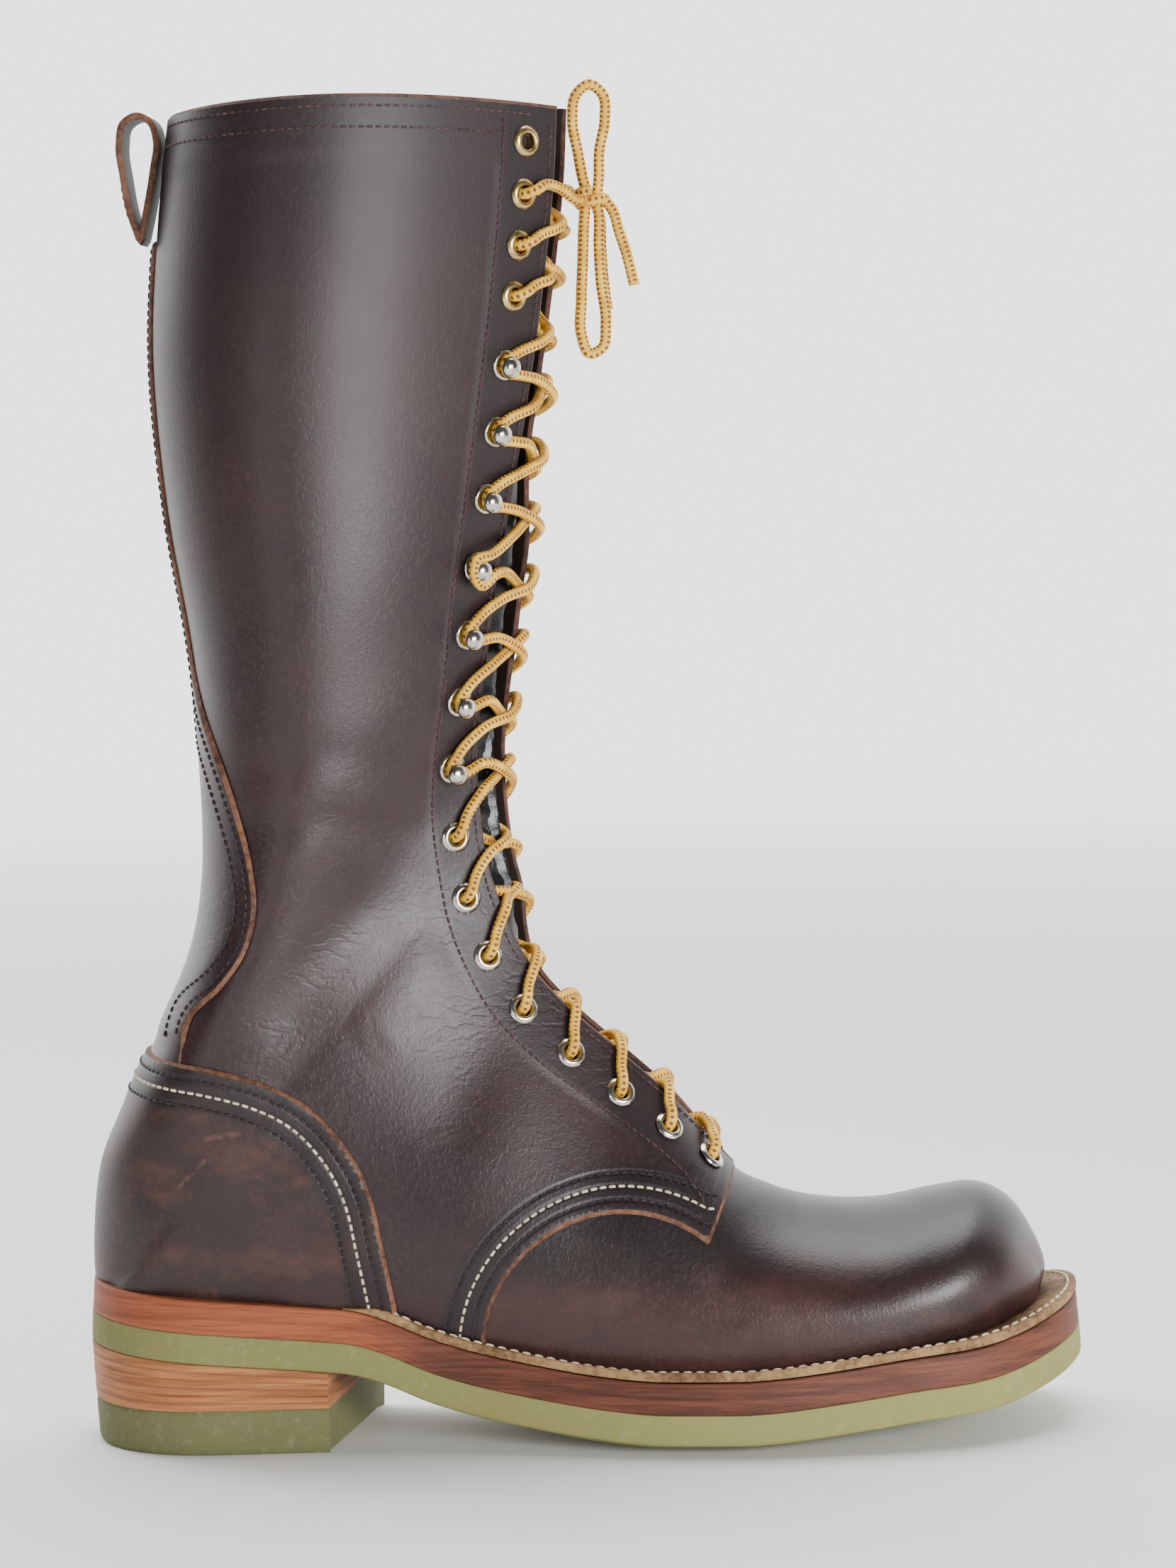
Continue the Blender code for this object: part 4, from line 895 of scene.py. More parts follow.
def piece(name, points, faces, materials, slot, indices=None, sharp=40.0, held=None, stands_for=()):
    """A shown piece from points in millimetres, riding on the boot."""
    mesh = bpy.data.meshes.new(name)
    faces = [tuple(int(k) for k in face) for face in faces]
    mesh.from_pydata((np.asarray(points) * MM).tolist(), [], faces)
    for material in materials:
        mesh.materials.append(material)
    if indices is not None:
        mesh.polygons.foreach_set("material_index", np.asarray(indices, dtype=np.int32))
    for key, values in (held or {}).items():
        kept_values = mesh.attributes.new(key, "FLOAT", "POINT").data
        kept_values.foreach_set("value", np.asarray(values, dtype=np.float32))
    work = bmesh.new()
    work.from_mesh(mesh)
    bmesh.ops.recalc_face_normals(work, faces=work.faces)
    work.to_mesh(mesh)
    work.free()
    mesh.shade_smooth()
    mesh.set_sharp_from_angle(angle=math.radians(sharp))
    obj = bpy.data.objects.new(name, mesh)
    bpy.context.scene.collection.objects.link(obj)
    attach(obj, "root")
    if stands_for:
        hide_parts(*stands_for)
    return obj


def cut(data, faces, column, level):
    """Splits faces where a column of the points' data passes a level: data, faces above, faces below."""
    value = (data[:, column] - level).tolist()
    extra = []
    made = {}

    def between(a, b):
        key = (a, b) if a < b else (b, a)
        if key not in made:
            share = value[a] / (value[a] - value[b])
            made[key] = len(data) + len(extra)
            extra.append(data[a] + (data[b] - data[a]) * share)
        return made[key]

    above = []
    below = []
    for face in faces:
        signs = [value[a] > 0 for a in face]
        if all(signs):
            above.append(face)
            continue
        if not any(signs):
            below.append(face)
            continue
        up = []
        down = []
        for k, a in enumerate(face):
            b = face[(k + 1) % len(face)]
            if signs[k]:
                up.append(a)
            else:
                down.append(a)
            if signs[k] != (value[b] > 0):
                middle = between(a, b)
                up.append(middle)
                down.append(middle)
        if len(up) > 2:
            above.append(tuple(up))
        if len(down) > 2:
            below.append(tuple(down))
    if extra:
        data = np.vstack([data, np.array(extra)])
    return data, above, below


def grid_faces(rows, columns):
    index = np.arange(rows * columns).reshape(rows, columns)
    quads = np.stack([index[:-1, :-1], index[:-1, 1:], index[1:, 1:], index[1:, :-1]], axis=-1)
    return [tuple(quad) for quad in quads.reshape(-1, 4).tolist()]


def ring_faces(rows, columns):
    """Faces between rings of points that follow each other."""
    faces = []
    for i in range(rows - 1):
        first = i * columns
        for j in range(columns):
            k = (j + 1) % columns
            faces.append((first + j, first + k, first + columns + k, first + columns + j))
    return faces


def loop_faces(rows, columns):
    """Faces between rings whose last one closes on the first."""
    count = rows * columns
    return [tuple(k % count for k in face) for face in ring_faces(rows + 1, columns)]


def no_seams(count):
    """What leather with no seam or cut edge keeps on its points."""
    return {"edge": np.full(count, NO_EDGE), "stay": np.zeros(count), "seam": np.full(count, NO_SEAM)}


def lofted(name, rings, material, slot, sharp, held=None, stands_for=()):
    """A closed piece through rings of points, with a flat face at each end."""
    columns = len(rings[0])
    faces = ring_faces(len(rings), columns)
    faces += [tuple(range(columns)), tuple((len(rings) - 1) * columns + k for k in range(columns))]
    return piece(name, np.concatenate(rings), faces, [material], slot, None, sharp, held, stands_for)


def rim_edges(faces):
    """Edges that only one of the faces has."""
    seen = {}
    for face in faces:
        for k, a in enumerate(face):
            b = face[(k + 1) % len(face)]
            key = (a, b) if a < b else (b, a)
            seen[key] = None if key in seen else (a, b)
    return [edge for edge in seen.values() if edge is not None]


def leather_sheet(name, rows, places, field, top, bottom, materials, slot, bevel, drop, stands_for=(),
                  sewn_edge=None):
    """A closed sheet of leather on the form where the field is above 0, with a bevelled raw edge. The
    distance from its sewn edge is kept on the points, and edges far from that one take the last material."""
    s, v = np.meshgrid(rows, places, indexing="ij")
    s = s.ravel()
    v = v.ravel()
    data = np.stack([s, v, field(s, v)], axis=1)
    faces = grid_faces(len(rows), len(places))
    data, faces, _ = cut(data, faces, 2, 0.0)
    data, main, band = cut(data, faces, 2, bevel)
    used = np.unique(np.concatenate([np.array(face) for face in main + band]))
    order = np.full(len(data), -1)
    order[used] = np.arange(len(used))
    main = [tuple(order[list(face)]) for face in main]
    band = [tuple(order[list(face)]) for face in band]
    s, v, edge = data[used].T
    rim = np.clip(1 - edge / bevel, 0.0, 1.0)
    point = skin(s, v)
    out = skin(s, v, 1.0) - point
    high = point + out * (top(s, v, point) - drop * rim ** 1.4)[:, None]
    low = point + out * bottom(s, v, point)[:, None]
    count = len(used)
    under = [tuple(k + count for k in face[::-1]) for face in main + band]
    walls = [(a, b, b + count, a + count) for a, b in rim_edges(main + band)]
    faces = main + band + under + walls
    seam = sewn_edge(s, v) if sewn_edge else np.full(count, NO_SEAM)
    plain = len(materials) - 1
    band_kinds = [1 if seam[list(face)].mean() < 3.0 else plain for face in band]
    wall_kinds = [1 if seam[face[0]] < 3.0 else plain for face in walls]
    indices = [0] * len(main) + band_kinds + [0] * len(under) + wall_kinds
    stay = 1 - smooth_step(from_flap(s, v), 20.5, 22.5)
    stay = stay * (s > THROAT_ROW - 1.5)
    held = {"edge": np.concatenate([edge, edge]), "stay": np.concatenate([stay, stay]),
            "seam": np.concatenate([seam, seam])}
    return piece(name, np.concatenate([high, low]), faces, materials, slot, indices, 38.0, held, stands_for)


def contour(rows, places, field, level):
    """The lines on the form where the field passes a level, longest first, as s and place."""
    s, v = np.meshgrid(rows, places, indexing="ij")
    value = field(s.ravel(), v.ravel()).reshape(s.shape) - level
    above = value > 0
    total = above[:-1, :-1].astype(int) + above[:-1, 1:] + above[1:, 1:] + above[1:, :-1]
    spots = {}
    links = {}
    for i, j in np.argwhere((total > 0) & (total < 4)).tolist():
        corners = [(i, j), (i, j + 1), (i + 1, j + 1), (i + 1, j)]
        ends = []
        for k in range(4):
            a, b = sorted((corners[k], corners[(k + 1) % 4]))
            if above[a] != above[b]:
                share = value[a] / (value[a] - value[b])
                spots[(a, b)] = (s[a] + (s[b] - s[a]) * share, v[a] + (v[b] - v[a]) * share)
                ends.append((a, b))
        if len(ends) == 2:
            links.setdefault(ends[0], []).append(ends[1])
            links.setdefault(ends[1], []).append(ends[0])
    lines = []
    left = set(links)
    starts = [key for key in links if len(links[key]) == 1] + list(links)
    for start in starts:
        if start not in left:
            continue
        line = [start]
        left.discard(start)
        while True:
            ahead = [key for key in links[line[-1]] if key in left]
            if not ahead:
                break
            line.append(ahead[0])
            left.discard(ahead[0])
        lines.append(np.array([spots[key] for key in line]))
    return sorted(lines, key=len, reverse=True)


def stitch_parts(point, out, pitch, length, radius):
    """Stitches along a line of points with outward directions: rings of each and their faces."""
    reach = lengths(point)
    count = int(reach[-1] / pitch)
    if count < 1:
        return np.zeros((0, 3)), []
    middle = (np.arange(count) + 0.5) * pitch
    steps = np.array((-0.5, -0.36, 0.0, 0.36, 0.5)) * length
    at = middle[:, None] + steps[None, :]
    here = placed(at, reach, point)
    rise = unit(placed(at, reach, out))
    ahead = unit(np.gradient(here, axis=1))
    cross = unit(np.cross(rise, ahead))
    size = radius * np.array((0.5, 0.92, 1.0, 0.92, 0.5))
    height = radius * np.array((-0.7, 0.15, 0.40, 0.15, -0.7))
    sides = 6
    angles = 2 * math.pi * np.arange(sides) / sides
    ring = np.cos(angles)[:, None] * cross[:, :, None, :] + np.sin(angles)[:, None] * rise[:, :, None, :]
    points = here[:, :, None, :] + rise[:, :, None, :] * height[:, None, None] + ring * size[:, None, None]
    whole = len(steps) * sides
    one = ring_faces(len(steps), sides) + [tuple(range(sides)), tuple(range(whole - sides, whole))]
    faces = [tuple(n * whole + k for k in face) for n in range(count) for face in one]
    return points.reshape(-1, 3), faces


def sewn(name, lines, offset, stitch, material, slot):
    """One piece of stitches along several lines of s and place on the form."""
    runs = []
    for line in lines:
        s, v = np.asarray(line).T
        base = skin(s, v)
        out = skin(s, v, 1.0) - base
        lift = offset(s, v, base) if callable(offset) else np.full(len(s), offset)
        runs.append((base + out * lift[:, None], out))
    stitched(name, runs, stitch, material, slot)


def joined(parts):
    """Points and faces of several parts in one."""
    points = []
    faces = []
    count = 0
    for some_points, some_faces in parts:
        points.append(some_points)
        faces += [tuple(k + count for k in face) for face in some_faces]
        count += len(some_points)
    return np.concatenate(points), faces


def stitched(name, runs, stitch, material, slot):
    """One piece of stitches along runs of points with outward directions."""
    points, faces = joined([stitch_parts(point, out, *stitch) for point, out in runs])
    piece(name, points, faces, [material], slot)


# Upper

def relief(s, v, point):
    """Soft troughs and swellings of the leather, in the side view."""
    x = point[:, 0]
    z = point[:, 2]
    depth = np.zeros(len(x))
    for places, width, amount in CREASES:
        line = smooth_line(places, 24)
        best = np.full(len(x), 1e9)
        share = np.zeros(len(x))
        for k, (place_x, place_z) in enumerate(line):
            far = np.hypot(x - place_x, z - place_z)
            share = np.where(far < best, k / 23.0, share)
            best = np.minimum(best, far)
        fade = smooth_step(share, 0.0, 0.25) * (1 - smooth_step(share, 0.75, 1.0))
        depth += amount * np.exp(-(best / width) ** 2) * (0.35 + 0.65 * fade)
    return depth


# Soft folds of the quarters: places in the side view, half width, height (minus is a trough)
CREASES = [
    ([(70.0, 176.0), (52.0, 160.0), (36.0, 140.0), (28.0, 120.0)], 9.0, -1.1),
    ([(104.0, 132.0), (88.0, 112.0), (78.0, 90.0)], 12.0, -0.9),
    ([(30.0, 176.0), (22.0, 160.0), (10.0, 148.0)], 7.0, -0.7),
    ([(84.0, 158.0), (66.0, 140.0), (52.0, 124.0)], 12.0, 1.0),
    ([(88.0, 196.0), (66.0, 192.0), (44.0, 196.0), (20.0, 192.0)], 6.0, -0.5),
    ([(90.0, 222.0), (68.0, 214.0), (46.0, 216.0), (18.0, 210.0)], 7.0, -0.4),
]


def vamp_seam():
    """The outer side's curved vamp seam in the side view, from under the sole."""
    centre_x, centre_z = VAMP_SEAM_CENTRE
    angles = np.radians(np.linspace(180.0, 50.0, 40))
    curve = np.stack([np.cos(angles), np.sin(angles)], axis=1) * VAMP_SEAM_RADIUS + (centre_x, centre_z)
    return [(centre_x - VAMP_SEAM_RADIUS, -20.0)] + curve.tolist()


# Outlines in the side view
VAMP_SEAM = vamp_seam()
TOE_SIDE = [VAMP_CORNER, THROAT_CORNER, (190.0, 120.0), (310.0, 120.0), (310.0, -20.0)]
VAMP_OUTLINE = VAMP_SEAM + TOE_SIDE
CURVE_OUTLINE = VAMP_SEAM + [VAMP_CORNER, (172.0, 55.0), (310.0, -20.0)]
INNER_VAMP_OUTLINE = [(138.0, -20.0), (150.0, 40.0)] + TOE_SIDE
COUNTER_LINE = smooth_line(COUNTER_EDGE, 60).tolist()
FOXING_LINE = smooth_line(FOXING_EDGE, 60).tolist()
COUNTER_OUTLINE = [(-60.0, -25.0), (-60.0, 123.0)] + COUNTER_LINE + [(62.7, -25.0)]
FOXING_OUTLINE = [(-60.0, -25.0), (-60.0, 123.0)] + FOXING_LINE + [(212.0, -25.0)]
BACKSTAY_OUTLINE = [(-60.0, 118.0)] + smooth_line(BACKSTAY_EDGE, 80).tolist() + [(-60.0, 272.0)]


def in_outlines(s, v, outer, inner):
    """How far inside one outline on the outer side, and another on the inner side, a place is."""
    point = skin(s, v)
    return np.where(around(v)[1] < 0, inside(point, outer), inside(point, inner))


def in_vamp(s, v):
    return in_outlines(s, v, VAMP_OUTLINE, INNER_VAMP_OUTLINE)


def behind_vamp(s, v):
    return -in_vamp(s, v)


def over_sole(point):
    """Height over a level a little under the top of the midsole."""
    return point[:, 2] - sole_level(point[:, 0], point[:, 1]) - MIDSOLE_TOP + 4.0


def in_counter(s, v):
    return in_outlines(s, v, COUNTER_OUTLINE, FOXING_OUTLINE)


def in_backstay(s, v):
    point = skin(s, v)
    leaf = inside(point, BACKSTAY_OUTLINE)
    half_length = read_table(FROM_FLAP, s, np.ones(len(s))) - from_flap(s, v)
    ends = np.minimum(point[:, 2] - STRIP_FOOT, STRIP_TOP - point[:, 2])
    strip = np.minimum(STRIP_HALF_WIDTH - half_length, ends)
    both = np.maximum(leaf, strip)
    return both + np.exp(-np.abs(leaf - strip) / 3.0) * 1.2


def quarter_field(s, v):
    """How far inside its quarter a place is, by its seam, throat, collar and eyelet holes."""
    point = skin(s, v)
    hole = np.full(len(s), 1e9)
    for row, place in enumerate(lacing_rows()):
        if is_hook(row):
            continue
        for word in (-1.0, 1.0):
            centre = seat(place, word)[0]
            hole = np.minimum(hole, np.linalg.norm(point - centre, axis=1))
    hole = np.where(hole < 8.0, hole - 3.1, 5.0)
    edges = np.minimum(from_flap(s, v), from_collar(s, v)) + 0.01
    return np.minimum(np.minimum(-in_vamp(s, v), hole), edges)


def quarter_top(s, v, point):
    flap = 0.35 * (1 - smooth_step(from_flap(s, v), 21.0, 24.0))
    flap = flap * smooth_step(s, THROAT_ROW, THROAT_ROW + 1.0)
    band = 0.25 * (1 - smooth_step(from_collar(s, v), 17.0, 19.5))
    edge = smooth_step(from_flap(s, v), 14.0, 40.0)
    return np.maximum(flap, band) + relief(s, v, point) * edge * (1 - smooth_step(s, 24.0, 26.0))


def quarter_bottom(s, v, point):
    return -2.2 + 1.05 * (1 - smooth_step(-in_vamp(s, v), 5.0, 9.0))


def vamp_top(s, v, point):
    turn, _ = around(v)
    share = np.maximum(smooth_step(turn, 0.02, 0.25), smooth_step(s, 8.0, 8.9))
    return -VAMP_STEP * share


def make_upper():
    """Vamp, quarters and lining."""
    step = 1.8
    half = turn_lines(0.0, 1.0, step)
    low_rows = row_lines(0.0, 13.5, step)
    places = np.concatenate([-half[:0:-1], half])

    def vamp_field(s, v):
        point = skin(s, v)
        gap = np.where((s > THROAT_ROW) & (np.abs(v) < 0.08), -1.0, 9.0)
        return np.minimum(np.minimum(in_vamp(s, v) + 4.0, gap), over_sole(point) + 1.5)

    def flat(level):
        return lambda s, v, point: np.full(len(s), level)

    leather_sheet("vamp_panel", low_rows, places, vamp_field, vamp_top, flat(-2.3), [VAMP_BROWN, DARK_EDGE],
                  "brown_leather", 0.8, 0.3, ("upper",))
    rows = row_lines(8.0, LAST_ROW, step)
    half = np.maximum(half, 1e-6)
    for word, sign in (("outer", -1.0), ("inner", 1.0)):
        leather_sheet(f"quarter_{word}", rows, sign * half, quarter_field, quarter_top, quarter_bottom,
                      [BROWN, RAW_EDGE, DARK_EDGE], "brown_leather", 1.1, 0.9, (),
                      behind_vamp if sign < 0 else None)

    def lining_field(s, v):
        point = skin(s, v)
        edges = np.minimum(from_flap(s, v) + 9.0 * (s < THROAT_ROW), from_collar(s, v)) + 0.01
        return np.minimum(edges, over_sole(point) + 1.0)

    coarse = np.maximum(turn_lines(0.0, 1.0, 3.0), 1e-6)
    for word, sign in (("outer", -1.0), ("inner", 1.0)):
        leather_sheet(f"lining_{word}", row_lines(0.6, LAST_ROW, 3.0), sign * coarse, lining_field,
                      flat(-2.25), flat(-WALL), [LINING, DARK_EDGE], "brown_leather", 0.4, 0.1)


def overlay_top(s, v, point):
    return np.full(len(s), OVERLAY_TOP) + 0.25 * np.sin(point[:, 0] * 0.21) * np.sin(point[:, 2] * 0.17)


def on_skin(s, v, point):
    return np.full(len(s), 0.05)


def make_overlays():
    """Counter and backstay. Gives back the rows and places that they are laid on."""
    step = 1.7
    half = turn_lines(0.0, 1.0, step)
    half = half[half > 0.1]
    places = np.concatenate([-2 + half, -half[::-1][1:]])
    rows = row_lines(3.0, 20.5, step)

    def counter_field(s, v):
        return np.minimum(in_counter(s, v), over_sole(skin(s, v)) + 1.0)

    leather_sheet("counter_cover", rows, places, counter_field, overlay_top, on_skin, [HEEL_BROWN, RAW_EDGE],
                  "brown_leather", 1.1, 1.2, ("counter",), in_counter)

    def stay_top(s, v, point):
        return 0.45 + 0.85 * smooth_step(point[:, 2], 126.0, 131.0)

    stay_places = places[np.abs(places + 1) < 0.62]
    stay_rows = row_lines(17.0, LAST_ROW, step)
    leather_sheet("backstay_cover", stay_rows, stay_places, in_backstay, stay_top, on_skin, [BROWN, RAW_EDGE],
                  "brown_leather", 1.0, 0.9, ("backstay",))
    return rows, places, stay_rows, stay_places


def kept(lines, test, shortest=6):
    """The parts of lines that pass a test on their points."""
    parts = []
    for line in lines:
        good = test(skin(line[:, 0], line[:, 1]))
        run = []
        for k, spot in enumerate(line):
            if good[k]:
                run.append(spot)
            if (not good[k] or k == len(line) - 1) and run:
                if len(run) > shortest:
                    parts.append(np.array(run))
                run = []
    return parts


def make_seams(rows, places, stay_rows, stay_places):
    """The rows of stitches on the upper."""
    def over(point):
        return over_sole(point) > 4.3

    def shaft_part(point):
        return over(point) & (point[:, 2] > 128.0)

    def three_rows(word, grid, field, depths, test, top):
        """A cream row of stitches between two dark ones, along the edge of a field."""
        first, cream, last = [kept(contour(*grid, field, depth)[:1], test) for depth in depths]
        sewn(f"{word}_cream_stitches", cream, top, CREAM_STITCH, CREAM, "lace_cord")
        sewn(f"{word}_dark_stitches", first + last, top, DARK_STITCH, DARK_THREAD, "brown_leather")

    three_rows("counter", (rows, places), in_counter, COUNTER_ROWS, over, overlay_top)
    half = turn_lines(0.0, 1.0, 1.8)
    low_rows = row_lines(7.0, 16.0, 1.8)

    def behind_curve(s, v):
        return -inside(skin(s, v), CURVE_OUTLINE)

    def on_quarter(point):
        clear = (inside(point, COUNTER_OUTLINE) < -1.0) & (inside(point, VAMP_OUTLINE) < -1.6)
        return over(point) & clear & (point[:, 0] < 172.0)

    three_rows("vamp", (low_rows, -half), behind_curve, VAMP_ROWS, on_quarter, quarter_top)
    stay_start = lacing_rows()[3]
    s = np.linspace(stay_start + 1.2, stay_start, 8)
    guide = skin(s, -flap_turn(s, EYESTAY_BACK))
    stay_outline = [(x, z) for x, _, z in guide]
    for back, rise in ((15.0, 25.0), (8.5, 19.0), (3.2, 11.6), (1.2, 6.0)):
        stay_outline.append((VAMP_CORNER[0] - back, VAMP_CORNER[1] + rise))
    foot = stay_outline[-1]
    stay_outline += [(320.0, foot[1] - 40.0), (320.0, 330.0)]

    def in_stay(s, v):
        return inside(skin(s, v), stay_outline)

    def under_guide(point):
        return on_quarter(point) & (point[:, 2] < guide[-1, 2]) & (point[:, 0] < foot[0])

    runs = kept(contour(low_rows, -half, in_stay, 0.0), under_guide, 8)
    for sign in (-1.0, 1.0):
        s = np.linspace(THROAT_ROW + 0.3, LAST_ROW - 0.2, 500)
        runs.append(np.stack([s, sign * flap_turn(s, EYESTAY_FRONT)], axis=1))
        s = np.linspace(stay_start if sign < 0 else THROAT_ROW + 0.6, LAST_ROW - 0.1, 500)
        runs.append(np.stack([s, sign * flap_turn(s, EYESTAY_BACK)], axis=1))
    sewn("eyestay_stitches", runs, quarter_top, EYESTAY_STITCH, RED_THREAD, "brown_leather")

    turn = np.linspace(0.06, 0.93, 200)
    near = np.linspace(25.0, LAST_ROW, 90)
    drops = [read_table(FROM_COLLAR, near, np.full(len(near), t)) for t in turn]
    runs = []
    for sign in (-1.0, 1.0):
        for depth in COLLAR_ROWS:
            s = np.array([np.interp(-depth, -drop, near) for drop in drops])
            runs.append(np.stack([s, sign * turn], axis=1))
    sewn("collar_stitches", runs, quarter_top, COLLAR_STITCH, RED_THREAD, "brown_leather")

    runs = []
    for depth in BACKSTAY_ROWS:
        runs += kept(contour(stay_rows, stay_places, in_backstay, depth)[:3], shaft_part, 12)
    sewn("backstay_stitches", runs, 1.3, BACKSTAY_STITCH, DARK_THREAD, "brown_leather")


def strip_points(s, offset, width, count):
    """Points across the front of one section, width long, inside the upper."""
    turn = np.linspace(0.0, 1.0, 80) ** 1.35
    halves = []
    outer = lifted(np.full(80, s), turn, -1.0, np.full(80, offset))
    inner = lifted(np.full(80, s), turn, 1.0, np.full(80, offset))
    middle = (outer[:1] + inner[:1]) / 2
    for half in (np.concatenate([middle, outer]), np.concatenate([middle, inner])):
        halves.append(placed(np.linspace(0.0, width / 2, count + 1), lengths(half), half))
    return np.concatenate([halves[0][:0:-1], halves[1]])


def make_tongue():
    """The tongue, with soft waves pressed in by the lace."""
    rings = []
    count = 14
    last = LAST_ROW - TONGUE_BELOW_COLLAR / 24.0
    stations = np.linspace(THROAT_ROW - 0.8, last, 150)
    for s in stations:
        width = TONGUE_WIDTH * (0.62 + 0.38 * float(smooth_step(s, THROAT_ROW - 0.8, THROAT_ROW + 4.0)))
        wave = 0.5 * math.sin(s * 5.3) + 0.3 * math.sin(s * 11.7 + 1.0)
        wave = wave * float(smooth_step(s, THROAT_ROW, THROAT_ROW + 1.0))
        front = strip_points(s, -WALL - TONGUE_SINK + wave, width, count)
        rear = strip_points(s, -WALL - TONGUE_SINK - TONGUE_THICK + wave, width, count)
        rings.append(np.concatenate([front, rear[::-1]]))
    held = no_seams(len(rings) * len(rings[0]))
    lofted("tongue_sheet", rings, BLACK, "black_leather", 50.0, held, ("tongue",))


def make_pull_loop():
    """The folded strap at the back of the collar, with rounded edges and two rows of stitches."""
    path = np.array(LOOP_PATH + LOOP_PATH[:1])
    line = smooth_line(path, 90)[:-1]
    ahead = unit(np.roll(line, -1, axis=0) - np.roll(line, 1, axis=0))
    out = np.stack([ahead[:, 1], -ahead[:, 0]], axis=1)
    half = LOOP_WIDTH / 2
    thick = LOOP_THICK / 2
    across = (-half + 0.5, -5.0, 0.0, 5.0, half - 0.5)
    profile = [(-half, -0.4)] + [(y, -1.0) for y in across] + [(half, -0.4)]
    profile += [(-y, -h) for y, h in profile]
    points = np.array([(place[0] + away[0] * thick * h, y, place[1] + away[1] * thick * h)
                       for place, away in zip(line, out) for y, h in profile])
    faces = loop_faces(len(line), len(profile))
    kinds = [1 if abs(points[list(face), 1].mean()) > half - 0.6 else 0 for face in faces]
    piece("pull_strap", points, faces, [STRAP, RAW_EDGE], "black_leather", kinds, 50.0,
          no_seams(len(points)), ("pull_loop",))
    low = line[np.argsort(line[:, 1])[:40]]
    outer = low[low[:, 0] < -10.5]
    outer = outer[np.argsort(outer[:, 1])]
    runs = []
    for y in (-half + 2.2, half - 2.2):
        run = np.array([(x - thick, y, z) for x, z in outer])
        runs.append((run, np.tile((-1.0, 0.0, 0.1), (len(run), 1))))
    stitched("pull_strap_stitches", runs, STRAP_STITCH, DARK_THREAD, "black_leather")


# Sole

def layer_loop(wall, columns):
    """Inset, share of the height and share of the width of each point once round a section of a layer."""
    across = np.sin(np.linspace(-math.pi / 2, math.pi / 2, columns))
    loop = [(wall[0][0], 0.0, a) for a in across[1:-1]]
    loop += [(inset, share, 1.0) for inset, share in wall]
    loop += [(wall[-1][0], 1.0, a) for a in across[::-1][1:-1]]
    loop += [(inset, share, -1.0) for inset, share in wall[::-1]]
    return np.array(loop).T


def slab(name, low, high, inset_low, inset_high, material, slot, node, round_low, round_high, layers=1.0):
    """One layer of the sole between two heights over its underside, with softened edges."""
    thick = high - low
    bends = [math.pi / 2 * k / 3 for k in range(4)]
    wall = [(round_low * (1 - math.sin(a)), round_low * (1 - math.cos(a))) for a in bends]
    wall += [(0.0, round_low + (thick - round_low - round_high) * k / 4) for k in range(1, 4)]
    wall += [(round_high * (1 - math.cos(a)), thick - round_high * (1 - math.sin(a))) for a in bends]
    inset, share, side = layer_loop([(inset, height / thick) for inset, height in wall], 19)
    inset = inset + inset_low + (inset_high - inset_low) * share
    rings = []
    for along in (1 - np.cos(np.linspace(0.0, math.pi, 120))) / 2:
        x = HEEL_END + inset + along * (TOE_END - HEEL_END - 2 * inset)
        y = plan_middle(x) + side * plan_half(x, inset)
        rings.append(np.stack([x, y, sole_level(x, y) + low + share * thick], axis=1))
    held = no_seams(len(rings) * len(share))
    held["level"] = np.tile(share * layers, len(rings))
    lofted(name, rings, material, slot, 50.0, held, (node,))


def heel_layer(name, low, high, inset_low, inset_high, material, slot, node, soft):
    """One layer of the heel between two heights that are functions of x, with a hollow breast."""
    wall = [(soft, 0.0), (soft * 0.3, 0.06), (0.0, 0.15), (0.0, 0.5), (0.0, 0.85), (soft * 0.3, 0.94),
            (soft, 1.0)]
    inset, share, side = layer_loop(wall, 25)
    inset = inset + inset_low + (inset_high - inset_low) * share
    breast = (BREAST_OUTER_X + BREAST_INNER_X) / 2 + (BREAST_INNER_X - BREAST_OUTER_X) / 2 * side
    breast = breast - BREAST_HOLLOW * (1 - side ** 2)
    start = HEEL_END + inset
    rings = []
    for along in 1 - np.cos(np.linspace(0.0, math.pi / 2, 60)):
        x = start + along * (breast - start)
        y = plan_middle(x) + side * plan_half(x, inset)
        rings.append(np.stack([x, y, low(x) + share * (high(x) - low(x))], axis=1))
    lofted(name, rings, material, slot, 45.0, {"level": np.tile(share, len(rings))}, (node,))


def heel_inset(height):
    """How far the heel's wall stands in at a height."""
    return HEEL_TAPER * max(0.0, 1 - height / HEEL_HEIGHT)


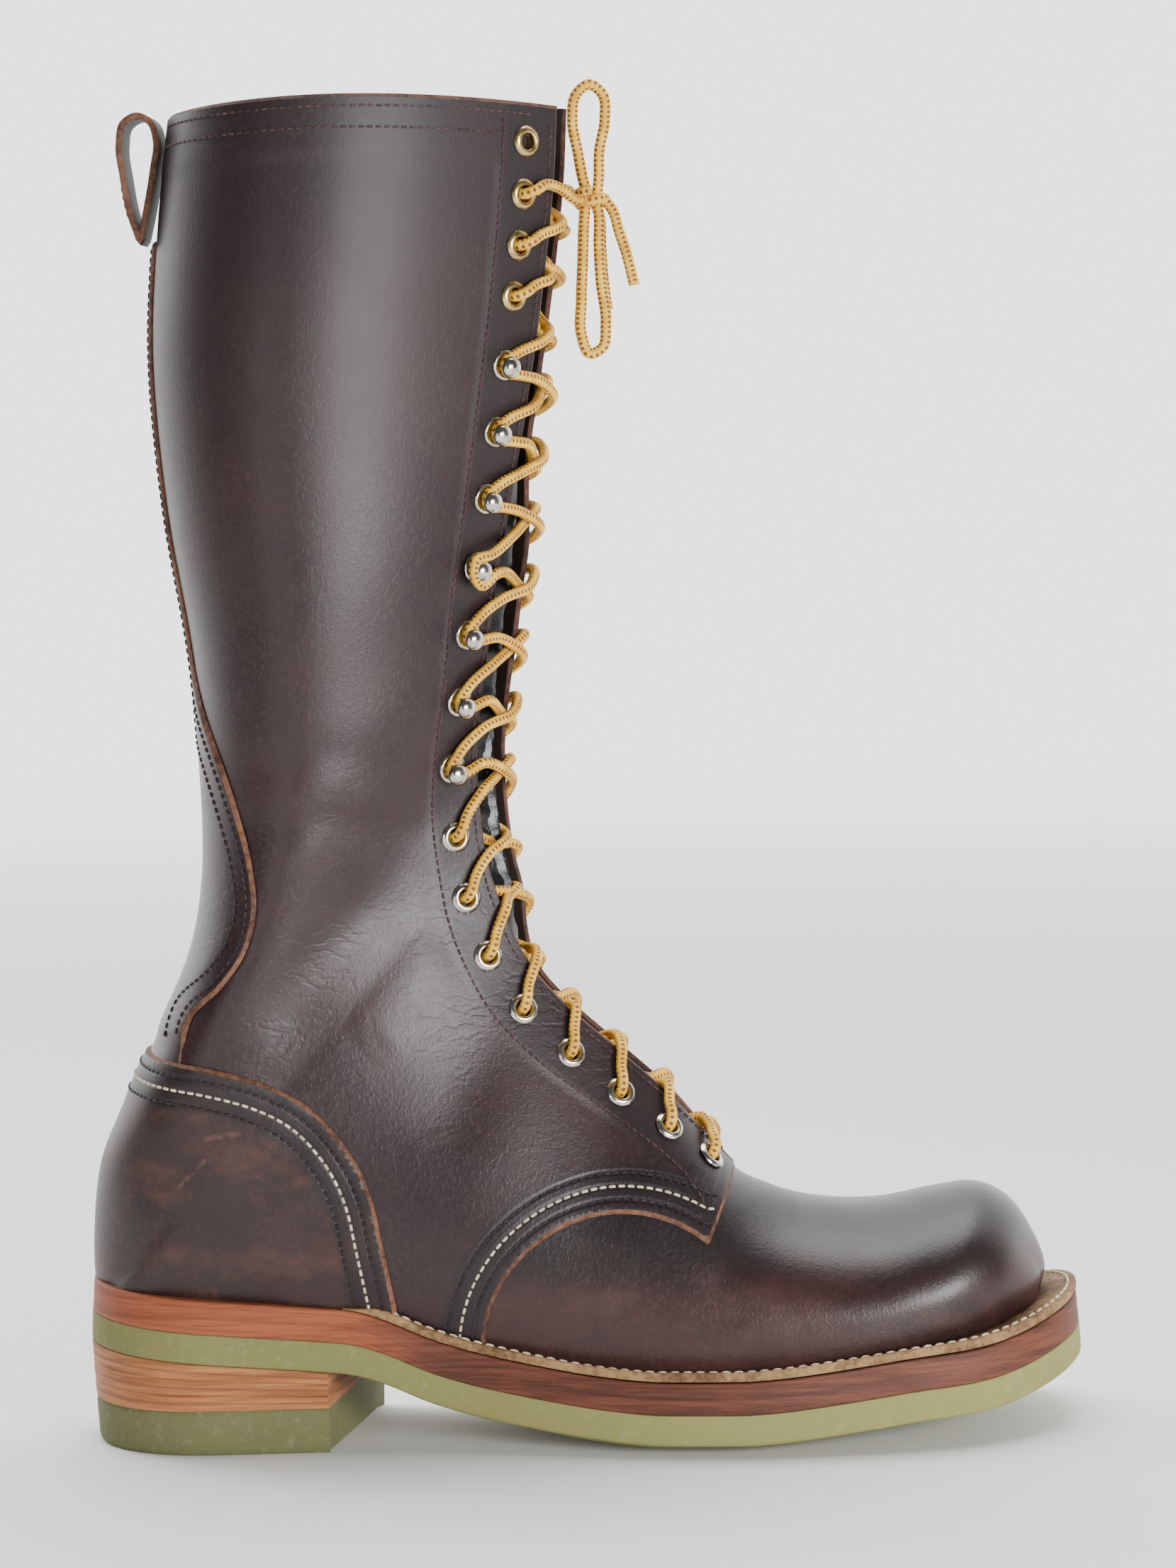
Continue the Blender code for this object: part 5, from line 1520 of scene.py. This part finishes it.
def make_sole():
    """Outsole, midsole, insole, heel cap and heel lifts."""
    slab("outsole_layer", 0.0, OUTSOLE_THICK + 0.1, 0.0, 0.5, OLIVE, "olive_rubber", "outsole", 1.0, 0.5)
    slab("midsole_layer", OUTSOLE_THICK + 0.1, MIDSOLE_TOP, 0.6, 1.4, MIDSOLE_STACK, "edge_leather",
         "midsole", 0.4, 0.8, layers=3.0)
    slab("insole_board", LAST_LEVEL, LAST_LEVEL + INSOLE_THICK, 13.0, 13.0, INSOLE_TAN, "insole_leather",
         "insole", 0.5, 0.9)

    def floor(x):
        return 0.0

    def cap_top(x):
        return HEEL_CAP_THICK

    def lift(share):
        def level(x):
            return HEEL_CAP_THICK + share * (sole_line(x) - HEEL_CAP_THICK)
        return level

    heel_layer("heel_cap_layer", floor, cap_top, heel_inset(0.0), heel_inset(HEEL_CAP_THICK), HEEL_OLIVE,
               "olive_rubber", "heel_cap", 0.9)
    for k in range(HEEL_LIFTS):
        low, high = k / HEEL_LIFTS, (k + 1) / HEEL_LIFTS
        insets = [heel_inset(HEEL_CAP_THICK + LIFTS_THICK * share) for share in (low, high)]
        heel_layer(f"heel_lift_layer_{k + 1}", lift(low), lift(high), *insets, LIFT_STACK, "edge_leather",
                   f"heel_lift_{k + 1}", 0.35)


def foot_outline(height):
    """Plan of the upper's foot at a height over the sole, from the outer waist round the toe to the
    inner waist."""
    line = []
    for sign in (-1.0, 1.0):
        half = []
        for s in np.linspace(0.3, 14.0, 120):
            turn = np.linspace(0.2, 1.0, 120)
            point = surface(np.full(120, s), turn, sign)
            over = point[:, 2] - sole_level(point[:, 0], point[:, 1]) - height
            k = int(np.argmax(over < 0))
            if k < 1:
                continue
            share = over[k - 1] / (over[k - 1] - over[k])
            half.append(point[k - 1] + (point[k] - point[k - 1]) * share)
        line.append(np.array(half))
    return np.concatenate([line[0][::-1], line[1]])


def make_welt():
    """The welt strip round the forefoot, tapered at both ends, and its stitches."""
    outline = foot_outline(LAST_LEVEL + 1.5)[:, :2]
    inset = 1.2
    start = 46.0
    share = np.linspace(0.0, math.pi, 240)
    x = start + (TOE_END - inset - start) * np.sin(share) ** 0.9
    side = np.where(share < math.pi / 2, -1.0, 1.0)
    edge = np.stack([x, plan_middle(x) + side * plan_half(x, inset)], axis=1)
    length = lengths(edge)
    at = np.linspace(0.0, length[-1], 300)
    edge = placed(at, length, edge)
    ahead = unit(np.gradient(edge, axis=0))
    inward = np.stack([-ahead[:, 1], ahead[:, 0]], axis=1)
    width = np.full(len(edge), 14.0)
    for k, (place, way) in enumerate(zip(edge, inward)):
        first = outline[:-1] - place
        step = outline[1:] - outline[:-1]
        turn = way[0] * step[:, 1] - way[1] * step[:, 0]
        turn = np.where(np.abs(turn) < 1e-9, 1e-9, turn)
        reach = (first[:, 0] * step[:, 1] - first[:, 1] * step[:, 0]) / turn
        along = (first[:, 0] * way[1] - first[:, 1] * way[0]) / turn
        good = (along >= 0) & (along <= 1) & (reach > 0)
        if good.any():
            width[k] = reach[good].min()
    smooth = np.convolve(np.pad(width, 4, mode="edge"), np.ones(9) / 9, mode="valid")
    taper = smooth_step(at, 0.0, 14.0) * smooth_step(length[-1] - at, 0.0, 14.0)
    rings = []
    for k, (place, way) in enumerate(zip(edge, inward)):
        thick = 0.3 + (WELT_THICK - 0.3) * taper[k]
        deep = smooth[k] + 1.2
        ring = []
        for inwards, height in ((0.5, 0.0), (0.05, 0.3), (0.0, 0.6), (0.15, 0.85), (0.7, 1.0), (2.2, 1.0),
                                (deep, 1.0), (deep, 0.0)):
            spot = place + way * inwards
            ring.append((*spot, float(sole_level(*spot)) + LAST_LEVEL + height * thick))
        rings.append(np.array(ring))
    lofted("welt_strip", rings, WELT_TAN, "welt_leather", 45.0, None, ("welt",))
    line = edge + inward * np.minimum(2.6, smooth * 0.5)[:, None]
    top = sole_level(line[:, 0], line[:, 1]) + LAST_LEVEL + 0.3 + (WELT_THICK - 0.3) * taper
    run = np.concatenate([line, top[:, None]], axis=1)[6:-6]
    up = np.tile((0.0, 0.0, 1.0), (len(run), 1))
    stitched("welt_stitches", [(run, up)], WELT_STITCH, CREAM, "lace_cord")


def make_plate():
    """The bent steel plate on the inner edge of the ball, with two flush slotted screws."""
    rings = []
    for x in np.linspace(PLATE_START_X, PLATE_END_X, 25):
        end = min(x - PLATE_START_X, PLATE_END_X - x)
        round_off = 1.2 * (1 - min(1.0, end / 1.5)) ** 2
        edge = float(plan_middle(x) + plan_half(x)) + 0.3
        low = float(sole_level(x, edge)) + 5.8 + round_off
        top = float(sole_level(x, edge)) + LAST_LEVEL + WELT_THICK + 0.5
        lip = edge - 4.2 + round_off
        profile = [(edge, low), (edge, top - 0.6), (edge - 0.6, top), (lip, top), (lip - 0.2, top + 0.7),
                   (lip, top + 1.3), (edge - 0.2, top + 1.5), (edge + 0.8, top + 1.2),
                   (edge + 1.5, top + 0.2), (edge + 1.5, low + 0.4), (edge + 1.1, low)]
        rings.append(np.array([(x, y, z) for y, z in profile]))
    lofted("sole_plate_cover", rings, STEEL, "steel", 40.0, None, ("sole_plate",))
    heads = []
    slots = []
    box = [(0, 2, 4, 6), (1, 3, 5, 7), (0, 1, 3, 2), (2, 3, 5, 4), (4, 5, 7, 6), (6, 7, 1, 0)]
    for x in (PLATE_START_X + 8.0, PLATE_END_X - 8.0):
        edge = float(plan_middle(x) + plan_half(x)) + 1.8
        z = float(sole_level(x, edge)) + 12.0
        out = unit(np.array((float(plan_half(x - 3) - plan_half(x + 3)) / 6 + 0.02, 1.0, 0.0)))
        up = np.array((0.0, 0.0, 1.0))
        away = np.cross(out, up)
        place = (np.array((x, edge - 0.25, z)), out, up, away)
        heads.append(turned([(0.0, 0.0), (2.9, 0.0), (2.9, 0.35), (2.5, 0.6), (0.0, 0.68)], place, 28))
        slot = []
        for a, b in ((-2.3, -0.32), (2.3, -0.32), (2.3, 0.32), (-2.3, 0.32)):
            for level in (0.4, 0.74):
                slot.append(place[0] + away * (a * 0.8 + b * 0.6) + up * (b * 0.8 - a * 0.6) + out * level)
        slots.append((np.array(slot), box))
    piece("plate_screws", *joined(heads), [NICKEL], "steel")
    piece("plate_screw_slots", *joined(slots), [DARK_THREAD], "steel")


# Lacing

def lacing_rows():
    """The section value of each row of the lacing, by lengths along the edge of the throat."""
    s = np.linspace(THROAT_ROW, LAST_ROW, 600)
    edge = surface(s, np.zeros(len(s)), -1.0)
    pitches = [LOW_PITCH] * (LOW_EYELETS - 1) + [ROW_GAP] + [HOOK_PITCH] * (HOOKS - 1)
    pitches += [ROW_GAP] + [TOP_PITCH] * (TOP_EYELETS - 1)
    return np.interp(FIRST_EYELET + np.concatenate([[0.0], np.cumsum(pitches)]), lengths(edge), s)


def seat(s, side):
    """Place and directions of an eyelet or hook: point, outward, up the throat, away from the throat."""
    here = float(flap_turn(s, EYELET_SETBACK)[0])
    point = surface(s, here, side)
    outward = normal(s, here, side)
    away = unit(surface(s, here + 0.02, side) - surface(s, here - 0.02, side))
    return point, outward, unit(np.cross(outward, away) * side), away


def is_hook(row):
    return LOW_EYELETS <= row < LOW_EYELETS + HOOKS


def turned(profile, place, steps, lean=0.0):
    """A closed profile of radius and height turned about the outward direction of a place, its top leaning
    away from the throat."""
    point, outward, up, away = place
    angles = 2 * math.pi * np.arange(steps) / steps
    radial = np.cos(angles)[:, None] * up + np.sin(angles)[:, None] * away
    profile = np.array(profile)
    points = point + radial[:, None, :] * profile[None, :, 0, None] + outward * profile[None, :, 1, None]
    points = points + away * (lean * smooth_step(profile[:, 1], 1.0, 4.4))[None, :, None]
    return points.reshape(-1, 3), loop_faces(steps, len(profile))


def make_fasteners():
    """Eyelets and hooks on both sides of the throat."""
    ring = [(2.45, -2.5), (2.45, 0.5), (2.65, 0.95), (3.1, 1.2), (3.7, 1.1), (4.3, 0.75), (4.7, 0.3),
            (4.65, 0.05), (3.0, 0.05), (3.0, -2.5)]
    flange = [(2.6, -2.6), (4.4, -2.7), (4.5, -2.95), (4.2, -3.15), (2.6, -3.0)]
    stud = [(0.01, 0.2), (4.5, 0.2), (4.75, 0.45), (4.6, 0.8), (4.0, 1.0), (3.4, 0.9), (1.7, 0.95),
            (1.25, 1.2), (1.2, 4.1), (1.4, 4.3), (2.7, 4.35), (3.2, 4.7), (3.35, 5.2), (3.25, 5.8),
            (2.9, 6.4), (2.15, 7.0), (1.15, 7.35), (0.01, 7.5)]
    groups = {key: [] for key in ("low_eyelets", "speed_hooks", "top_eyelets")}
    nodes = {key: [] for key in groups}
    for row, s in enumerate(lacing_rows()):
        for side, word in ((-1.0, "outer"), (1.0, "inner")):
            place = seat(s, side)
            if is_hook(row):
                groups["speed_hooks"].append(turned(stud, place, 28, HOOK_LEAN))
                nodes["speed_hooks"].append(f"hook_{word}_{row + 1:02d}")
                continue
            key = "low_eyelets" if row < LOW_EYELETS else "top_eyelets"
            lifted_place = (place[0] + place[1] * 0.35, *place[1:])
            groups[key] += [turned(ring, lifted_place, 32), turned(flange, place, 24)]
            nodes[key].append(f"eyelet_{word}_{row + 1:02d}")
    for key, parts in groups.items():
        points, faces = joined(parts)
        material = BRASS if key == "top_eyelets" else NICKEL
        piece(key, points, faces, [material], "nickel", None, 50.0, None, nodes[key])


def lace_tube(name, path, radius, stands_for=()):
    """A round stretch of lace along a path, with lengths and turns kept as texture places."""
    path = np.asarray(path)
    heading = unit(np.gradient(path, axis=0))
    side = unit(np.cross(heading[0], (0.3, 0.5, 0.8)))
    reach = lengths(path)
    sides = 14
    angles = (2 * math.pi * np.arange(sides) / sides)[:, None]
    rings = []
    for place, ahead in zip(path, heading):
        side = unit(side - ahead * side.dot(ahead))
        rise = np.cross(ahead, side)
        rings.append(place + radius * (np.cos(angles) * side + np.sin(angles) * rise))
    obj = lofted(name, rings, LACE, "lace_cord", 50.0, None, stands_for)
    mesh = obj.data
    layer = mesh.uv_layers.new(name="UVMap")
    for polygon in mesh.polygons:
        columns = [mesh.loops[k].vertex_index % sides for k in polygon.loop_indices]
        wraps = 0 in columns and sides - 1 in columns
        for k, column in zip(polygon.loop_indices, columns):
            row = mesh.loops[k].vertex_index // sides
            turn = column / sides
            if wraps and column == 0:
                turn = 1.0
            layer.data[k].uv = (reach[row], turn)
    return obj


def flap_edge(s, side, height):
    """A place over (or under) the edge of one flap, a little way in from it."""
    turn = float(flap_turn(s, 0.3)[0])
    return surface(s, turn, side) + normal(s, max(turn, 0.02), side) * height


def lace_path(first_side):
    """One strand of the lace: out through each eyelet and round each hook, crossing the throat between
    rows."""
    rows = lacing_rows()[:LACED_ROWS]
    side = first_side
    over = 2.1 if first_side < 0 else -1.6
    path = []
    low = rows[0] - 0.06
    bottom = (surface(low, 0.0, -1.0) + surface(low, 0.0, 1.0)) / 2
    path.append(bottom + normal(low, 0.02, -1.0) * np.array((1.0, 0.0, 1.0)) * -5.2)
    for row, s in enumerate(rows):
        point, outward, up, away = seat(s, side)
        step = rows[row + 1] - s if row + 1 < len(rows) else s - rows[row - 1]
        if is_hook(row):
            loose = row == LOOSE_HOOK and side < 0
            reach = 4.8 if loose else 1.9
            level = point + outward * (4.6 if loose else 2.7)
            path += [level - away * 3.2 - up * 3.4, level + away * reach * 0.6 - up * reach * 0.9,
                     level + away * reach, level + away * reach * 0.6 + up * reach * 0.9,
                     level - away * 3.2 + up * 3.4]
        else:
            out_way = unit(up * 0.40 - away * 0.92)
            path += [point - outward * 4.7 - away * 6.0 - up * 3.0,
                     point - outward * 4.4 - away * 1.6 - up * 0.8,
                     point - outward * 1.4, point + outward * 1.7 + out_way * 0.5,
                     point + outward * 3.3 + out_way * 3.0, point + outward * 3.0 + out_way * 6.5]
        if row + 1 < len(rows):
            near = flap_edge(s + 0.26 * step, side, 2.4)
            next_over = is_hook(row + 1)
            far = flap_edge(s + (0.70 if next_over else 0.58) * step, -side, 2.4 if next_over else -4.4)
            middle = (near + far) / 2
            front = unit(normal(s, 0.03, side) + normal(s, 0.03, -side))
            swell = 2.0 if next_over else 0.6
            path += [near, middle + front * (over + swell), far]
            side = -side
    last = flap_edge(rows[-1] + 0.05, side, 2.6)
    knot = np.array(KNOT_CENTRE)
    path += [last, knot + np.array((-4.5, side * 5.0, -0.6)), knot + np.array((-1.0, side * 1.5, 0.2))]
    points = np.array(path)
    return smooth_line(points, int(lengths(points)[-1] / LACE_STEP))


def make_laces():
    """The bow's knot, loops and ends, and the two strands that lead to it."""
    share = np.linspace(0.0, 1.0, 46)
    angle = 2 * math.pi * KNOT_TURNS * share + KNOT_START
    spread = np.stack([np.cos(angle) * KNOT_RADIUS, np.sin(angle) * KNOT_RADIUS, share * KNOT_RISE], axis=1)
    wrap = np.array(KNOT_FOOT) + spread
    knot = lace_tube("bow_knot", wrap, LACE_RADIUS * 0.96, ("lace_knot",))
    cords = (("bow_loop_up", LOOP_UP, "lace_loop_up", "knot"),
             ("bow_loop_down", LOOP_DOWN, "lace_loop_down", "knot"),
             ("bow_end_outer", END_OUTER, "lace_end_outer", "bare"),
             ("bow_end_inner", END_INNER, "lace_end_inner", "bare"))
    for name, route, node, far_end in cords:
        line = smooth_line(route, 90 if far_end == "knot" else 44)
        cord = lace_tube(name, line, LACE_RADIUS, (node,))
        line * MM
    lace_tube("lace_strand_outer", lace_path(-1.0), LACE_RADIUS, ("lace_crossings",))
    lace_tube("lace_strand_inner", lace_path(1.0), LACE_RADIUS)


make_camera()
make_studio()
make_laces()
make_upper()
make_seams(*make_overlays())
make_tongue()
make_pull_loop()
make_sole()
make_welt()
make_plate()
make_fasteners()
